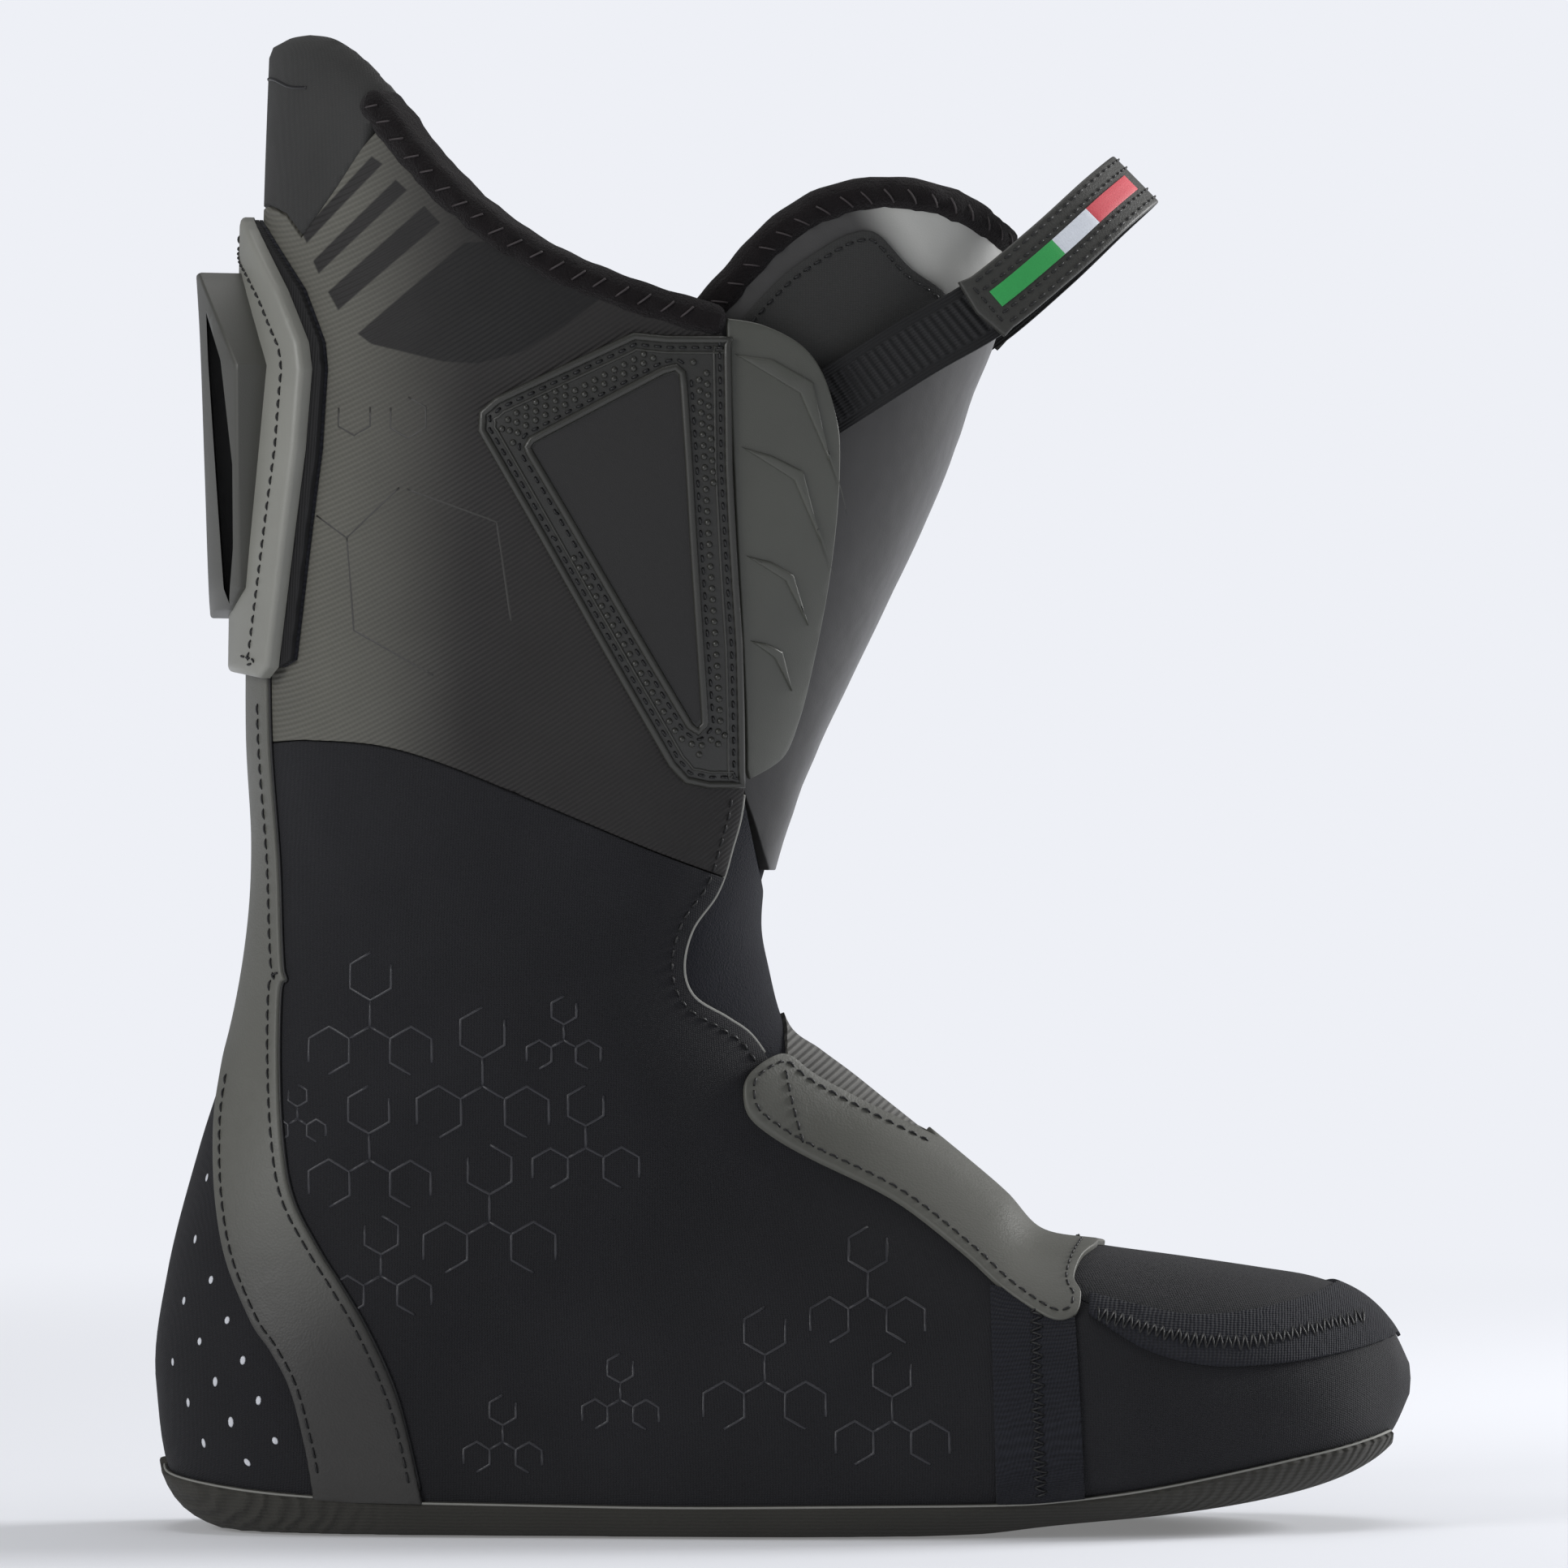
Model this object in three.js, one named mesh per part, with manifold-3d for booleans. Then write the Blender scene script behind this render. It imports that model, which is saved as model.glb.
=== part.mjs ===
// Inner boot (liner) of an alpine ski boot, right foot, shoe size 26.5 mondo.
// Millimetres, +X to the toe, +Y to the wearer's left (inner side), +Z up. The origin is on the ground
// at the middle of the footprint.
//
// The boot is one smooth form. Every layer (lining, foam, skin, overlays) is the space between two offsets
// of that form, cut by an outline drawn in the side view. The tongue is a second form inside it.
import * as THREE from "three";
import { mergeVertices } from "three/addons/utils/BufferGeometryUtils.js";
import Module from "manifold-3d";

const wasm = await Module();
wasm.setup();

// ---------- driving dimensions ----------
// Offsets of each layer from the outer form, inside to outside.
const ANKLE_PAD = [-11.4, -8.7];
const LINING = [-8.4, -7.4];
const FOAM = [-7.0, -1.3];
const SKIN = [-0.9, 0];
const TAPE = [0.35, 0.95];
const OVERLAY = [0.35, 1.4];
const RAND = [0.35, 1.5];
const GUSSET = [-5, -1.6];
const GUSSET_SPLIT = 17; // half of the gap that the tongue moves in
const LOOP_PAD = [0.35, 0.9];
const FLAP = [-1.3, -0.2];
const CHEVRON = [-0.9, 0.7];
const HOOK_PAD = [1.3, 1.8];
const SPOILER_PLATE = [2.2, 5.4];
const SPOILER_BLOCK = [5.8, 13.5];
const WINDOW_FLOOR = 9.5;

// Offsets of the tongue's layers from the tongue's own form.
const TONGUE_PANEL = [0.35, 1.2];
const TONGUE_SHELL = [-2.2, 0];
const TONGUE_PAD = [-8.2, -2.6];
const TONGUE_LINING = [-9.3, -8.5];

const GAP = 0.4; // between neighbours that touch
const LINING_SHORT = 4; // the linings end this far behind the front edge
const BINDING_WIDTH = 8; // plush edging round the collar and the tongue
const OUTSOLE_THICK = 2.2;
const BOARD_THICK = 3;
const FOOTBED_THICK = 3.6;
const WEBBING = { width: 14.5, thick: 1.4 };
const TAB = { width: 15.6, inner: 1.1, outer: 2.3 };
const STRIPE = { width: 4.4, inner: 2.65, outer: 2.95 };
const REACH = 220; // farther than any part of the boot

// ---------- the boot's form ----------
// Each row is one section, from the top of the leg round the heel to the toe: the ends of the line across
// the boot in the side view (back or sole x z, then front or instep x z), the half width, where along the
// line it is widest, how square it is behind and in front of that, and the sideways shift of its middle.
const SECTIONS = [
  [-117.0, 342, 56.0, 342, 49.0, 0.45, 2.2, 2.6, 0],
  [-118.5, 300, 52.5, 300, 51.5, 0.45, 2.2, 2.7, 0],
  [-119.0, 270, 47.5, 270, 52.8, 0.45, 2.2, 2.8, 0],
  [-120.0, 240, 38.0, 240, 52.8, 0.45, 2.2, 2.9, 0],
  [-121.0, 210, 24.0, 210, 51.0, 0.46, 2.2, 3.0, 0],
  [-121.2, 180, 9.5, 180, 47.8, 0.47, 2.2, 3.1, 0],
  [-120.0, 155, -1.0, 156, 44.0, 0.48, 2.2, 2.9, 0],
  [-121.2, 134, -4.2, 139, 41.5, 0.48, 2.2, 2.5, 0],
  [-125.4, 111, -2.6, 127, 40.5, 0.48, 2.2, 2.1, 0],
  [-133.2, 86, 1.2, 114, 40.0, 0.47, 2.2, 2.1, 0],
  [-140.4, 58, 8.2, 108.4, 39.5, 0.45, 2.2, 2.1, 0],
  [-143.0, 32, 15.5, 103, 39.0, 0.42, 2.4, 2.1, 0],
  [-134.5, 5, 23.0, 97, 38.5, 0.38, 3.2, 2.1, 0],
  [-98.0, -2.2, 31.5, 90.2, 40.5, 0.34, 4.6, 2.1, 0],
  [-54.0, -2.4, 41.0, 82.4, 43.5, 0.3, 5.0, 2.2, 0.3],
  [-10.0, -2.2, 50.0, 74.6, 47.2, 0.28, 5.0, 2.3, 0.8],
  [30.0, -0.6, 58.5, 66.0, 49.6, 0.3, 4.6, 2.4, 1.6],
  [60.0, 2.6, 73.0, 63.4, 50.0, 0.34, 4.2, 2.5, 2.8],
  [86.0, 4.8, 91.5, 60.8, 47.6, 0.36, 3.8, 2.5, 4.4],
  [106.0, 7.4, 109.0, 58.2, 42.6, 0.38, 3.4, 2.4, 6.2],
  [121.0, 10.6, 121.5, 56.0, 35.4, 0.4, 3.0, 2.3, 7.8],
  [131.6, 14.8, 131.6, 51.8, 27.0, 0.43, 2.6, 2.2, 8.8],
  [138.6, 20.4, 138.6, 45.0, 17.0, 0.47, 2.3, 2.1, 9.4],
  [143.0, 29.0, 143.0, 36.4, 5.0, 0.5, 2.0, 2.0, 9.6],
];
const LAST_SECTION = SECTIONS.length - 1;
const AROUND = 18; // facets round each section
const CLEAN_UP = 0.13; // facets this close to flat are merged

// The tongue's form, from under the instep to its top: height, front x, half width, depth of the curve.
const TONGUE = [
  [84, 20, 14, 14],
  [97, 6, 15, 15],
  [110, -4, 16, 17],
  [118, -1.2, 14.5, 19],
  [126, -1.4, 14.8, 21],
  [141, -3.6, 15.2, 25],
  [151, -1.4, 16.2, 28],
  [161, 1.8, 18.4, 32],
  [173, 6.4, 22, 36],
  [193, 15.5, 29, 43],
  [212, 24.6, 35, 49],
  [229, 32.6, 37.2, 53],
  [245, 39.0, 38, 56],
  [257, 43.0, 38, 58],
  [268, 47.6, 38, 60],
  [279, 50.8, 37.8, 61],
  [290, 52.2, 37.4, 60],
  [308, 52.6, 37, 58],
];
const TONGUE_SQUARE = 2.5;
const TONGUE_REAR = -80;
const TONGUE_FACETS = 12;

// ---------- outlines in the side view (x, z) ----------
const pairs = (...numbers) => {
  const points = [];
  for (let i = 0; i < numbers.length; i += 2) points.push(new THREE.Vector2(numbers[i], numbers[i + 1]));
  return points;
};
const smooth = (points, steps) => new THREE.SplineCurve(points).getPoints(steps);
const rounded = (points, steps) => {
  const closed = new THREE.CatmullRomCurve3(points.map((p) => new THREE.Vector3(p.x, p.y, 0)), true,
      "centripetal");
  return closed.getPoints(steps).slice(0, -1).map((p) => new THREE.Vector2(p.x, p.y));
};
const reversed = (points) => [...points].reverse();
const moved = (points, dx, dz) => points.map((p) => new THREE.Vector2(p.x + dx, p.y + dz));

// A line moved sideways, to the right of its own direction.
function shifted(points, distance) {
  return points.map((p, i) => {
    const along = points[Math.min(i + 1, points.length - 1)].clone().sub(points[Math.max(i - 1, 0)])
        .normalize();
    return new THREE.Vector2(p.x + along.y * distance, p.y - along.x * distance);
  });
}

const collarTop = smooth(
  pairs(-111, 338.2, -104.5, 336.6, -97, 331.2, -88.4, 321.8, -80, 311, -68.5, 299.7, -53.7, 289.7, -38.9,
      283.2, -24, 278.2, -12, 275.2),
  26,
);
const BINDING_START = 8; // the point on collarTop where the plush edging starts
const bindingTop = collarTop.slice(BINDING_START);
const bindingFoot = shifted(bindingTop, BINDING_WIDTH);
const collarFoot = pairs(-150, 299.6, -117, 299.7, -112.6, 297, -109, 291.8, -101, 302.5, -95.2, 311.2);
const quarterFront = smooth(
  pairs(-13.6, 278, -11.6, 240, -9.6, 200, -8.6, 168, -11.6, 153, -14.8, 144, -20.4, 136, -22.4, 127.5, -20,
      120.8, -12.4, 116, -7, 112, -2.4, 105),
  30,
);
const laminateLine = smooth(pairs(-150, 174, -116, 178, -104.6, 178.3, -90, 177, -75, 172.6, -52.8, 163.4,
    -30.6, 154.1, -6, 144.6), 14);
const strapFront = smooth(
  pairs(-116, 198, -115.6, 177, -113.6, 151.3, -113.1, 134.7, -113.5, 106.9, -112.4, 88.4, -110.2, 75.5,
      -104.6, 64.4, -99.1, 56, -93.5, 46.8, -88, 34.8, -84.3, 21.8, -80.4, 4),
  24,
);
const strapRear = smooth(
  pairs(-127, 112, -128.2, 97, -127.6, 75.5, -125, 60.7, -119.4, 47.7, -114.8, 41.3, -110.2, 32.9, -107.4,
      21.8, -105, 4),
  14,
);
const strapMiddle = smooth(pairs(-119, 190, -118.2, 150, -118.6, 125, -121, 100, -119, 78, -112, 58, -103,
    42, -97, 22, -93, 0), 16);
const vampMiddle = smooth(pairs(-2.4, 103, 8, 96, 25, 84.5, 42, 71, 56, 56.5), 8);
const toeMiddle = smooth(pairs(56, 55.5, 66, 53, 80, 47, 93.3, 44, 108, 44.2, 122, 46.6, 150, 53), 10);
const toeTapeTop = smooth(pairs(66.6, 54.6, 80.4, 51.2, 93.3, 49.2, 110, 50.5, 124.8, 54.2, 152, 63), 10);
const toeTapeFoot = smooth(pairs(67.4, 50.2, 80.4, 42.2, 93.3, 38.5, 106.3, 38.1, 121.1, 39.4, 140, 43.1,
    152, 46), 10);
const randTop = smooth(
  pairs(-152, 17.6, -141.6, 14.8, -138, 12.6, -123, 10.6, -104.6, 9, -81, 7.6, -12, 7.4, 43, 7.5, 67.4, 9.2,
      99, 13.9, 120, 18, 152, 25.4),
  22,
);
const soleLine = smooth(pairs(-152, 0, 30, 0, 58, 1.5, 86, 3.5, 106, 5.9, 121, 8.9, 132, 12.6, 152, 22), 20);
const vampOverlay = [
  ...smooth(pairs(33.6, 87.9, 18.4, 95.6, 6.4, 102.2, 0.8, 106.4, -3.4, 106, -8.2, 102.6, -9.3, 98.6, -8,
      93.6, -2.9, 89.2, 6.4, 83.8, 24.9, 74.4, 39.7, 63.4, 48.9, 55, 57.3, 49.4, 61.9, 48, 65.6, 49.6, 66.6,
      53.8, 65.2, 57, 67.4, 61.4, 71.5, 63.6), 34),
  ...pairs(74, 80, 34, 110),
];
const frameOuter = pairs(-12.4, 268.6, -26, 268.6, -33.5, 269.3, -64, 254.8, -67.4, 251.8, -67.6, 247.6,
    -26, 173.2, -22.6, 169.4, -17.4, 168.2, -9.4, 168.2, -9.9, 200, -11.9, 240);
const frameWindow = pairs(-57, 244.9, -23.6, 261.6, -21.9, 260.4, -16.4, 182, -17.6, 180.4, -19.6, 181,
    -57.2, 243.6);
const flapFront = smooth(pairs(-12.6, 272.6, -4.7, 271.2, 3.6, 267, 8.6, 260.9, 11.9, 251.2, 12.9, 243,
    12.3, 229, 10.1, 212.4, 6.4, 193.9, 3.6, 182.8, 0, 174.5, -7.4, 169.6), 20);
const frontFlap = [...flapFront, ...reversed(shifted(quarterFront.filter((p) => p.y > 171 && p.y < 272),
    -GAP))];
const chevrons = [
  pairs(-10.8, 268.4, 3.6, 261.6, 10, 241.5, 2.4, 260, -10.8, 266.6),
  pairs(-9.6, 244.6, 3.6, 236.6, 8.8, 223.2, 2.4, 235, -9.6, 242.8),
  pairs(-7.8, 219.6, 1.8, 214.2, 5.4, 204.2, 0.6, 212.7, -7.8, 217.8),
  pairs(-6.9, 200.9, -0.9, 197.6, 1.6, 189.8, -2.1, 196.2, -6.9, 199.2),
];
const spoilerPlate = pairs(-152, 297.8, -121, 298, -118, 296.4, -109.8, 280, -105, 268, -104.2, 262, -105.5,
    244, -112, 195, -114, 192.6, -119.4, 193.8, -152, 200);
const spoilerPads = pairs(-152, 294, -120, 294, -107.4, 263, -114.2, 199.6, -152, 203.4);
const spoilerBlock = pairs(-152, 287, -123.6, 285.4, -117.4, 262, -121.3, 213, -126.5, 206, -152, 205.4);
const spoilerWindow = pairs(-131.4, 279, -127, 266.5, -123.4, 244, -124.9, 214, -127.4, 214);
const anklePad = pairs(-100, 92, -92, 122, -76, 136, -62, 128, -52, 108, -58, 90, -74, 78, -90, 78);

const tongueTop = smooth(pairs(-36, 259, -26, 270, -18.6, 277.2, -12, 284.5, -3, 294.4, 6.4, 301, 15.6,
    304.4, 25, 305.4, 34, 304.4, 43.4, 301, 51, 295.6, 62, 288), 22);
const shellRear = smooth(pairs(-27, 290, -26, 270, -24, 240, -20, 210, -14, 186, -10, 170, -6, 158, -3,
    152), 12);
const padRear = smooth(pairs(-35, 290, -36, 260, -38, 220, -37, 185, -34, 160, -30, 142, -24, 128, -16,
    121.6, -9, 117.6), 14);
const sidePanel = smooth(pairs(-15, 266, -8, 274.6, 0, 283, 9, 289.4, 15, 292.4, 20.5, 292.4, 27.7, 284.9,
    36.4, 277.6, 29, 268, 11, 252.6, -6, 251, -15, 255), 24);

// The pull loop's middle line, from its seam on the outer side to its middle in front of the shin.
const LOOP_HALF = [
  [6, -40.8, 251.6],
  [16, -40.8, 258],
  [30, -40.2, 266.8],
  [45, -37, 275.6],
  [60, -28.5, 288],
  [72, -16, 299.2],
  [78.6, 0, 305],
];
const LOOP_STEPS = 24;
const TAB_SPAN = [0.21, 0.79]; // share of the loop that the tab covers
const STRIPES = [
  ["tab_stripe_green", 0.228, 0.32, 0x2f9e4b],
  ["tab_stripe_white", 0.323, 0.38, 0xe4e6ea],
  ["tab_stripe_red", 0.383, 0.468, 0xc94a50],
];

// ---------- solids ----------
function splineRow(rows, s) {
  const i = Math.min(Math.floor(s), rows.length - 2);
  const t = s - i;
  const row = (k) => rows[Math.max(0, Math.min(rows.length - 1, k))];
  return rows[0].map((_, column) => {
    const [a, b, c, d] = [row(i - 1)[column], row(i)[column], row(i + 1)[column], row(i + 2)[column]];
    return b + 0.5 * t * (c - a + t * (2 * a - 5 * b + 4 * c - d + t * (3 * (b - c) + d - a)));
  });
}

// The section at s, moved out by off along the side outline's normals.
function section(s, off) {
  const [bx, bz, fx, fz, half, widest, squareBack, squareFront, shift] = splineRow(SECTIONS, s);
  const before = splineRow(SECTIONS, Math.max(0, s - 0.02));
  const after = splineRow(SECTIONS, Math.min(LAST_SECTION, s + 0.02));
  const back = new THREE.Vector2(after[0] - before[0], after[1] - before[1]).normalize();
  const front = new THREE.Vector2(after[2] - before[2], after[3] - before[3]).normalize();
  return {
    back: new THREE.Vector2(bx + back.y * off, bz - back.x * off),
    front: new THREE.Vector2(fx - front.y * off, fz + front.x * off),
    half: Math.max(half + off, 0.6),
    widest,
    squareBack,
    squareFront,
    shift,
  };
}

// A closed section as a ring of points; the angle runs from the back or sole round the outer side.
function ring(s, off) {
  const c = section(s, off);
  return Array.from({ length: AROUND }, (_, k) => {
    const angle = (2 * Math.PI * k) / AROUND;
    const along = Math.cos(angle);
    const power = 2 / (along > 0 ? c.squareBack : c.squareFront);
    const share = along > 0 ? c.widest * (1 - along ** power) : c.widest + (1 - c.widest) * (-along) ** power;
    const y = -Math.sign(Math.sin(angle)) * c.half * Math.abs(Math.sin(angle)) ** power;
    const p = c.back.clone().lerp(c.front, share);
    return new THREE.Vector3(p.x, y + c.shift, p.y);
  });
}

// Joins rings of equal length into a closed solid, with a flat fan at each end.
function loft(rings) {
  const count = rings[0].length;
  const middle = (points) => points.reduce((sum, p) => sum.add(p), new THREE.Vector3())
      .divideScalar(points.length);
  const vertices = [...rings.flat(), middle(rings[0]), middle(rings.at(-1))];
  const faces = [];
  for (let r = 0; r < rings.length - 1; r++) {
    for (let k = 0; k < count; k++) {
      const [a, b] = [r * count + k, r * count + ((k + 1) % count)];
      faces.push(a, b, a + count, b, b + count, a + count);
    }
  }
  const lastRing = (rings.length - 1) * count;
  for (let k = 0; k < count; k++) {
    const next = (k + 1) % count;
    faces.push(vertices.length - 2, next, k);
    faces.push(vertices.length - 1, lastRing + k, lastRing + next);
  }
  const geometry = new THREE.BufferGeometry().setFromPoints(vertices);
  geometry.setIndex(faces);
  const made = solidOf(geometry);
  if (made.volume() > 0) return made;
  geometry.setIndex(reversed(faces));
  return solidOf(geometry);
}

function solidOf(geometry) {
  const bare = geometry.clone();
  bare.deleteAttribute("normal");
  bare.deleteAttribute("uv");
  const merged = mergeVertices(bare, 1e-4);
  return new wasm.Manifold(
    new wasm.Mesh({
      numProp: 3,
      vertProperties: merged.attributes.position.array,
      triVerts: new Uint32Array(merged.index.array),
    }),
  );
}

const formCache = new Map();
function form(off) {
  if (!formCache.has(off)) formCache.set(off, loft(SECTIONS.map((_, s) => ring(s, off))));
  return formCache.get(off);
}
const layer = ([inner, outer]) => form(outer).subtract(form(inner));

function tongueRing(s, off) {
  const [z, front, half, depth] = splineRow(TONGUE, s);
  const power = 2 / TONGUE_SQUARE;
  const points = [new THREE.Vector3(TONGUE_REAR, half + off, z)];
  for (let k = 0; k <= TONGUE_FACETS; k++) {
    const angle = Math.PI / 2 - (Math.PI * k) / TONGUE_FACETS;
    const x = front + off - (depth + off) * (1 - Math.max(0, Math.cos(angle)) ** power);
    points.push(new THREE.Vector3(x, Math.sign(angle) * (half + off) * Math.abs(Math.sin(angle)) ** power,
        z));
  }
  points.push(new THREE.Vector3(TONGUE_REAR, -half - off, z));
  return points;
}
// The tongue runs inside the walls of the cuff and inside the front flaps, and is free in front of them.
const tongueCache = new Map();
function tongueForm(off) {
  if (!tongueCache.has(off)) {
    const freeOfCuff = prism([...moved(quarterFront, GAP - off, 0), ...pairs(10, -REACH, REACH, -REACH,
        REACH, REACH * 2, -4, REACH * 2)]);
    const flapEdge = moved(flapFront, GAP - off, 0).filter((p) => p.y > 170 - off);
    const freeOfFlap = prism([...flapEdge, ...pairs(REACH, 170 - off, REACH, REACH * 2, -60, REACH * 2, -60,
        274)]);
    const inCuff = form(LINING[0] - GAP + off).add(freeOfCuff);
    const inFlap = form(FLAP[0] - GAP + off).add(freeOfFlap)
        .add(belowLine(pairs(-REACH, 166 + off, REACH, 166 + off)));
    tongueCache.set(off, loft(TONGUE.map((_, s) => tongueRing(s, off))).intersect(inCuff).intersect(inFlap));
  }
  return tongueCache.get(off);
}
const tongueLayer = ([inner, outer]) => tongueForm(outer).subtract(tongueForm(inner));

// A side-view outline carried across the boot between two values of y.
function prism(outline, low = -REACH, high = REACH, holes = []) {
  const shape = new THREE.Shape(outline);
  shape.holes = holes.map((points) => new THREE.Path(points));
  const geometry = new THREE.ExtrudeGeometry(shape, { depth: high - low, bevelEnabled: false });
  geometry.rotateX(Math.PI / 2).translate(0, high, 0);
  return solidOf(geometry);
}
const aboveLine = (line) => prism([...line, new THREE.Vector2(line.at(-1).x, REACH * 2),
    new THREE.Vector2(line[0].x, REACH * 2)]);
const belowLine = (line) => prism([...line, new THREE.Vector2(line.at(-1).x, -REACH),
    new THREE.Vector2(line[0].x, -REACH)]);
const SIDES = { left: [GAP / 2, REACH], right: [-REACH, -GAP / 2] };

// ---------- materials ----------
const finish = (color, roughness) => new THREE.MeshStandardMaterial({ color, roughness, metalness: 0 });
const BLACK_KNIT = finish(0x1a1a1c, 0.85);
const GREY_LAMINATE = finish(0x4a4945, 0.7);
const GREY_LEATHER = finish(0x55554f, 0.55);
const PLUSH = finish(0x231f1f, 0.95);
const FOAM_GREY = finish(0x2c2c2e, 0.9);
const FLEECE = finish(0x22242f, 0.95);
const FELT = finish(0x3a3a36, 0.9);
const TPU = finish(0x45453f, 0.5);
const PLASTIC = finish(0x4b4a4a, 0.4);
const WEB = finish(0x161617, 0.8);

// ---------- assembly ----------
const liner = new THREE.Group();
function add(name, solid, material) {
  const { vertProperties, triVerts, numProp } = solid.asOriginal().simplify(CLEAN_UP).getMesh();
  const geometry = new THREE.BufferGeometry();
  const positions = vertProperties.filter((_, i) => i % numProp < 3);
  geometry.setAttribute("position", new THREE.BufferAttribute(new Float32Array(positions), 3));
  geometry.setIndex(new THREE.BufferAttribute(new Uint32Array(triVerts), 1));
  geometry.computeVertexNormals();
  const mesh = new THREE.Mesh(geometry, material);
  mesh.name = name;
  liner.add(mesh);
}

function addSole() {
  const ground = aboveLine(pairs(-REACH, 0, REACH, 0));
  const outsoleTop = moved(soleLine, 0, OUTSOLE_THICK);
  const boardFoot = moved(outsoleTop, 0, GAP);
  const boardTop = moved(boardFoot, 0, BOARD_THICK);
  const footbedFoot = moved(boardTop, 0, GAP);
  const footbedTop = moved(footbedFoot, 0, FOOTBED_THICK);
  add("outsole", form(RAND[1]).intersect(belowLine(outsoleTop)).intersect(ground), FELT);
  add("sole_rand", layer(RAND).intersect(aboveLine(boardFoot)).intersect(belowLine(randTop)), FELT);
  add("lasting_board", form(FOAM[1]).intersect(aboveLine(boardFoot))
      .intersect(belowLine(boardTop)), FOAM_GREY);
  const insideBed = form(LINING[1] - GAP).intersect(aboveLine(footbedFoot)).intersect(belowLine(footbedTop));
  add("footbed", insideBed, FLEECE);
  return { skinFoot: boardFoot, foamFoot: footbedFoot, liningFoot: moved(footbedTop, 0, GAP) };
}

const cuffOutline = (inset) => [
  ...moved(collarFoot, 0, -inset),
  ...bindingFoot.filter((p) => p.x > -90),
  ...shifted(quarterFront.filter((p) => p.y > 149 && p.y < 266), inset),
  ...reversed(moved(laminateLine, 0, inset)).filter((p) => p.x < -13.6),
];
const quarterOutline = (inset, soleEdge) => [
  ...shifted(strapMiddle, -inset).filter((p) => p.y < 177),
  ...soleEdge.filter((p) => p.x > -90 && p.x < 52),
  ...pairs(56 - inset, 2, 56 - inset, 54),
  ...reversed(moved(vampMiddle, 0, -inset)),
  ...reversed(shifted(quarterFront.filter((p) => p.y < 143), inset)),
  ...reversed(moved(laminateLine, 0, -inset)).filter((p) => p.x < -13.6 && p.x > -118),
];

// The stretch fleece between the front edges, below and beside the tongue.
function addGusset() {
  const edge = moved(quarterFront, GAP, 0);
  const throat = edge.filter((p) => p.y < 151 && p.x < -3);
  const outline = [...throat, ...pairs(0.6, 111, 0.6, 151)];
  const wings = layer(GUSSET).intersect(prism(outline));
  const tongueWay = prism(pairs(-REACH, 117.2, REACH, 117.2, REACH, 160, -REACH, 160), -GUSSET_SPLIT,
      GUSSET_SPLIT);
  add("throat_gusset", largest(wings.subtract(tongueWay)), FLEECE);
}

function addUpper(levels) {
  const inset = GAP / 2;
  const heelOutline = [...shifted(strapMiddle, inset), ...pairs(-REACH, 0, -REACH, 190)];
  const instepOutline = [...moved(vampMiddle, 0, inset).filter((p) => p.x > 0.4), ...pairs(58 - inset, 56,
      58 - inset, 110, 0.4, 130)];
  const toeOutline = [...moved(toeMiddle, 0, inset).filter((p) => p.x > 58), ...pairs(150, 120, 58 + inset,
      120, 58 + inset, 56)];
  const toeSideOutline = [...pairs(56 + inset, -20, 56 + inset, 54), ...moved(toeMiddle, 0, -inset),
      ...pairs(150, -20)];
  const aboveSole = aboveLine(levels.skinFoot);
  for (const [side, span] of Object.entries(SIDES)) {
    const cuff = prism(cuffOutline(inset), ...span);
    const foot = prism(quarterOutline(inset, levels.skinFoot), ...span);
    add(`cuff_skin_${side}`, layer(SKIN).intersect(cuff), GREY_LAMINATE);
    add(`quarter_skin_${side}`, layer(SKIN).intersect(foot).intersect(aboveSole), BLACK_KNIT);
    add(`cuff_foam_${side}`, layer(FOAM).intersect(cuff), FOAM_GREY);
    const rearHalf = prism([...quarterFoamOutline(inset)], ...span);
    add(`quarter_foam_${side}`, layer(FOAM).intersect(rearHalf)
        .intersect(aboveLine(levels.foamFoot)), FOAM_GREY);
    add(`ankle_pad_${side}`, layer(ANKLE_PAD).intersect(prism(rounded(anklePad, 24), ...span)), FOAM_GREY);
  }
  add("heel_panel", layer(SKIN).intersect(prism(heelOutline)).intersect(aboveSole)
      .intersect(belowLine(pairs(-REACH, 176, 0, 176))), BLACK_KNIT);
  add("instep_elastic", layer(SKIN).intersect(prism(instepOutline)), GREY_LAMINATE);
  add("toe_top_panel", layer(SKIN).intersect(prism(toeOutline)), BLACK_KNIT);
  add("toe_side_panel", layer(SKIN).intersect(prism(toeSideOutline)).intersect(aboveSole), BLACK_KNIT);
  const toeBox = layer(FOAM).intersect(prism(pairs(58 + inset, -20, 58 + inset, 120, 150, 120, 150, -20)));
  add("toe_box_foam", toeBox.intersect(aboveLine(levels.foamFoot)), FOAM_GREY);
}

// The foam of the foot goes under the heel panel and over the instep, up to the throat.
const quarterFoamOutline = (inset) => [
  ...pairs(-REACH, -20, 58 - inset, -20, 58 - inset, 120, 1.1, 130, 1.1, 106),
  ...reversed(shifted(quarterFront.filter((p) => p.y < 143), inset)),
  ...reversed(moved(laminateLine, 0, -inset)).filter((p) => p.x < -13.6),
  ...pairs(-REACH, 170),
];

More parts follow.
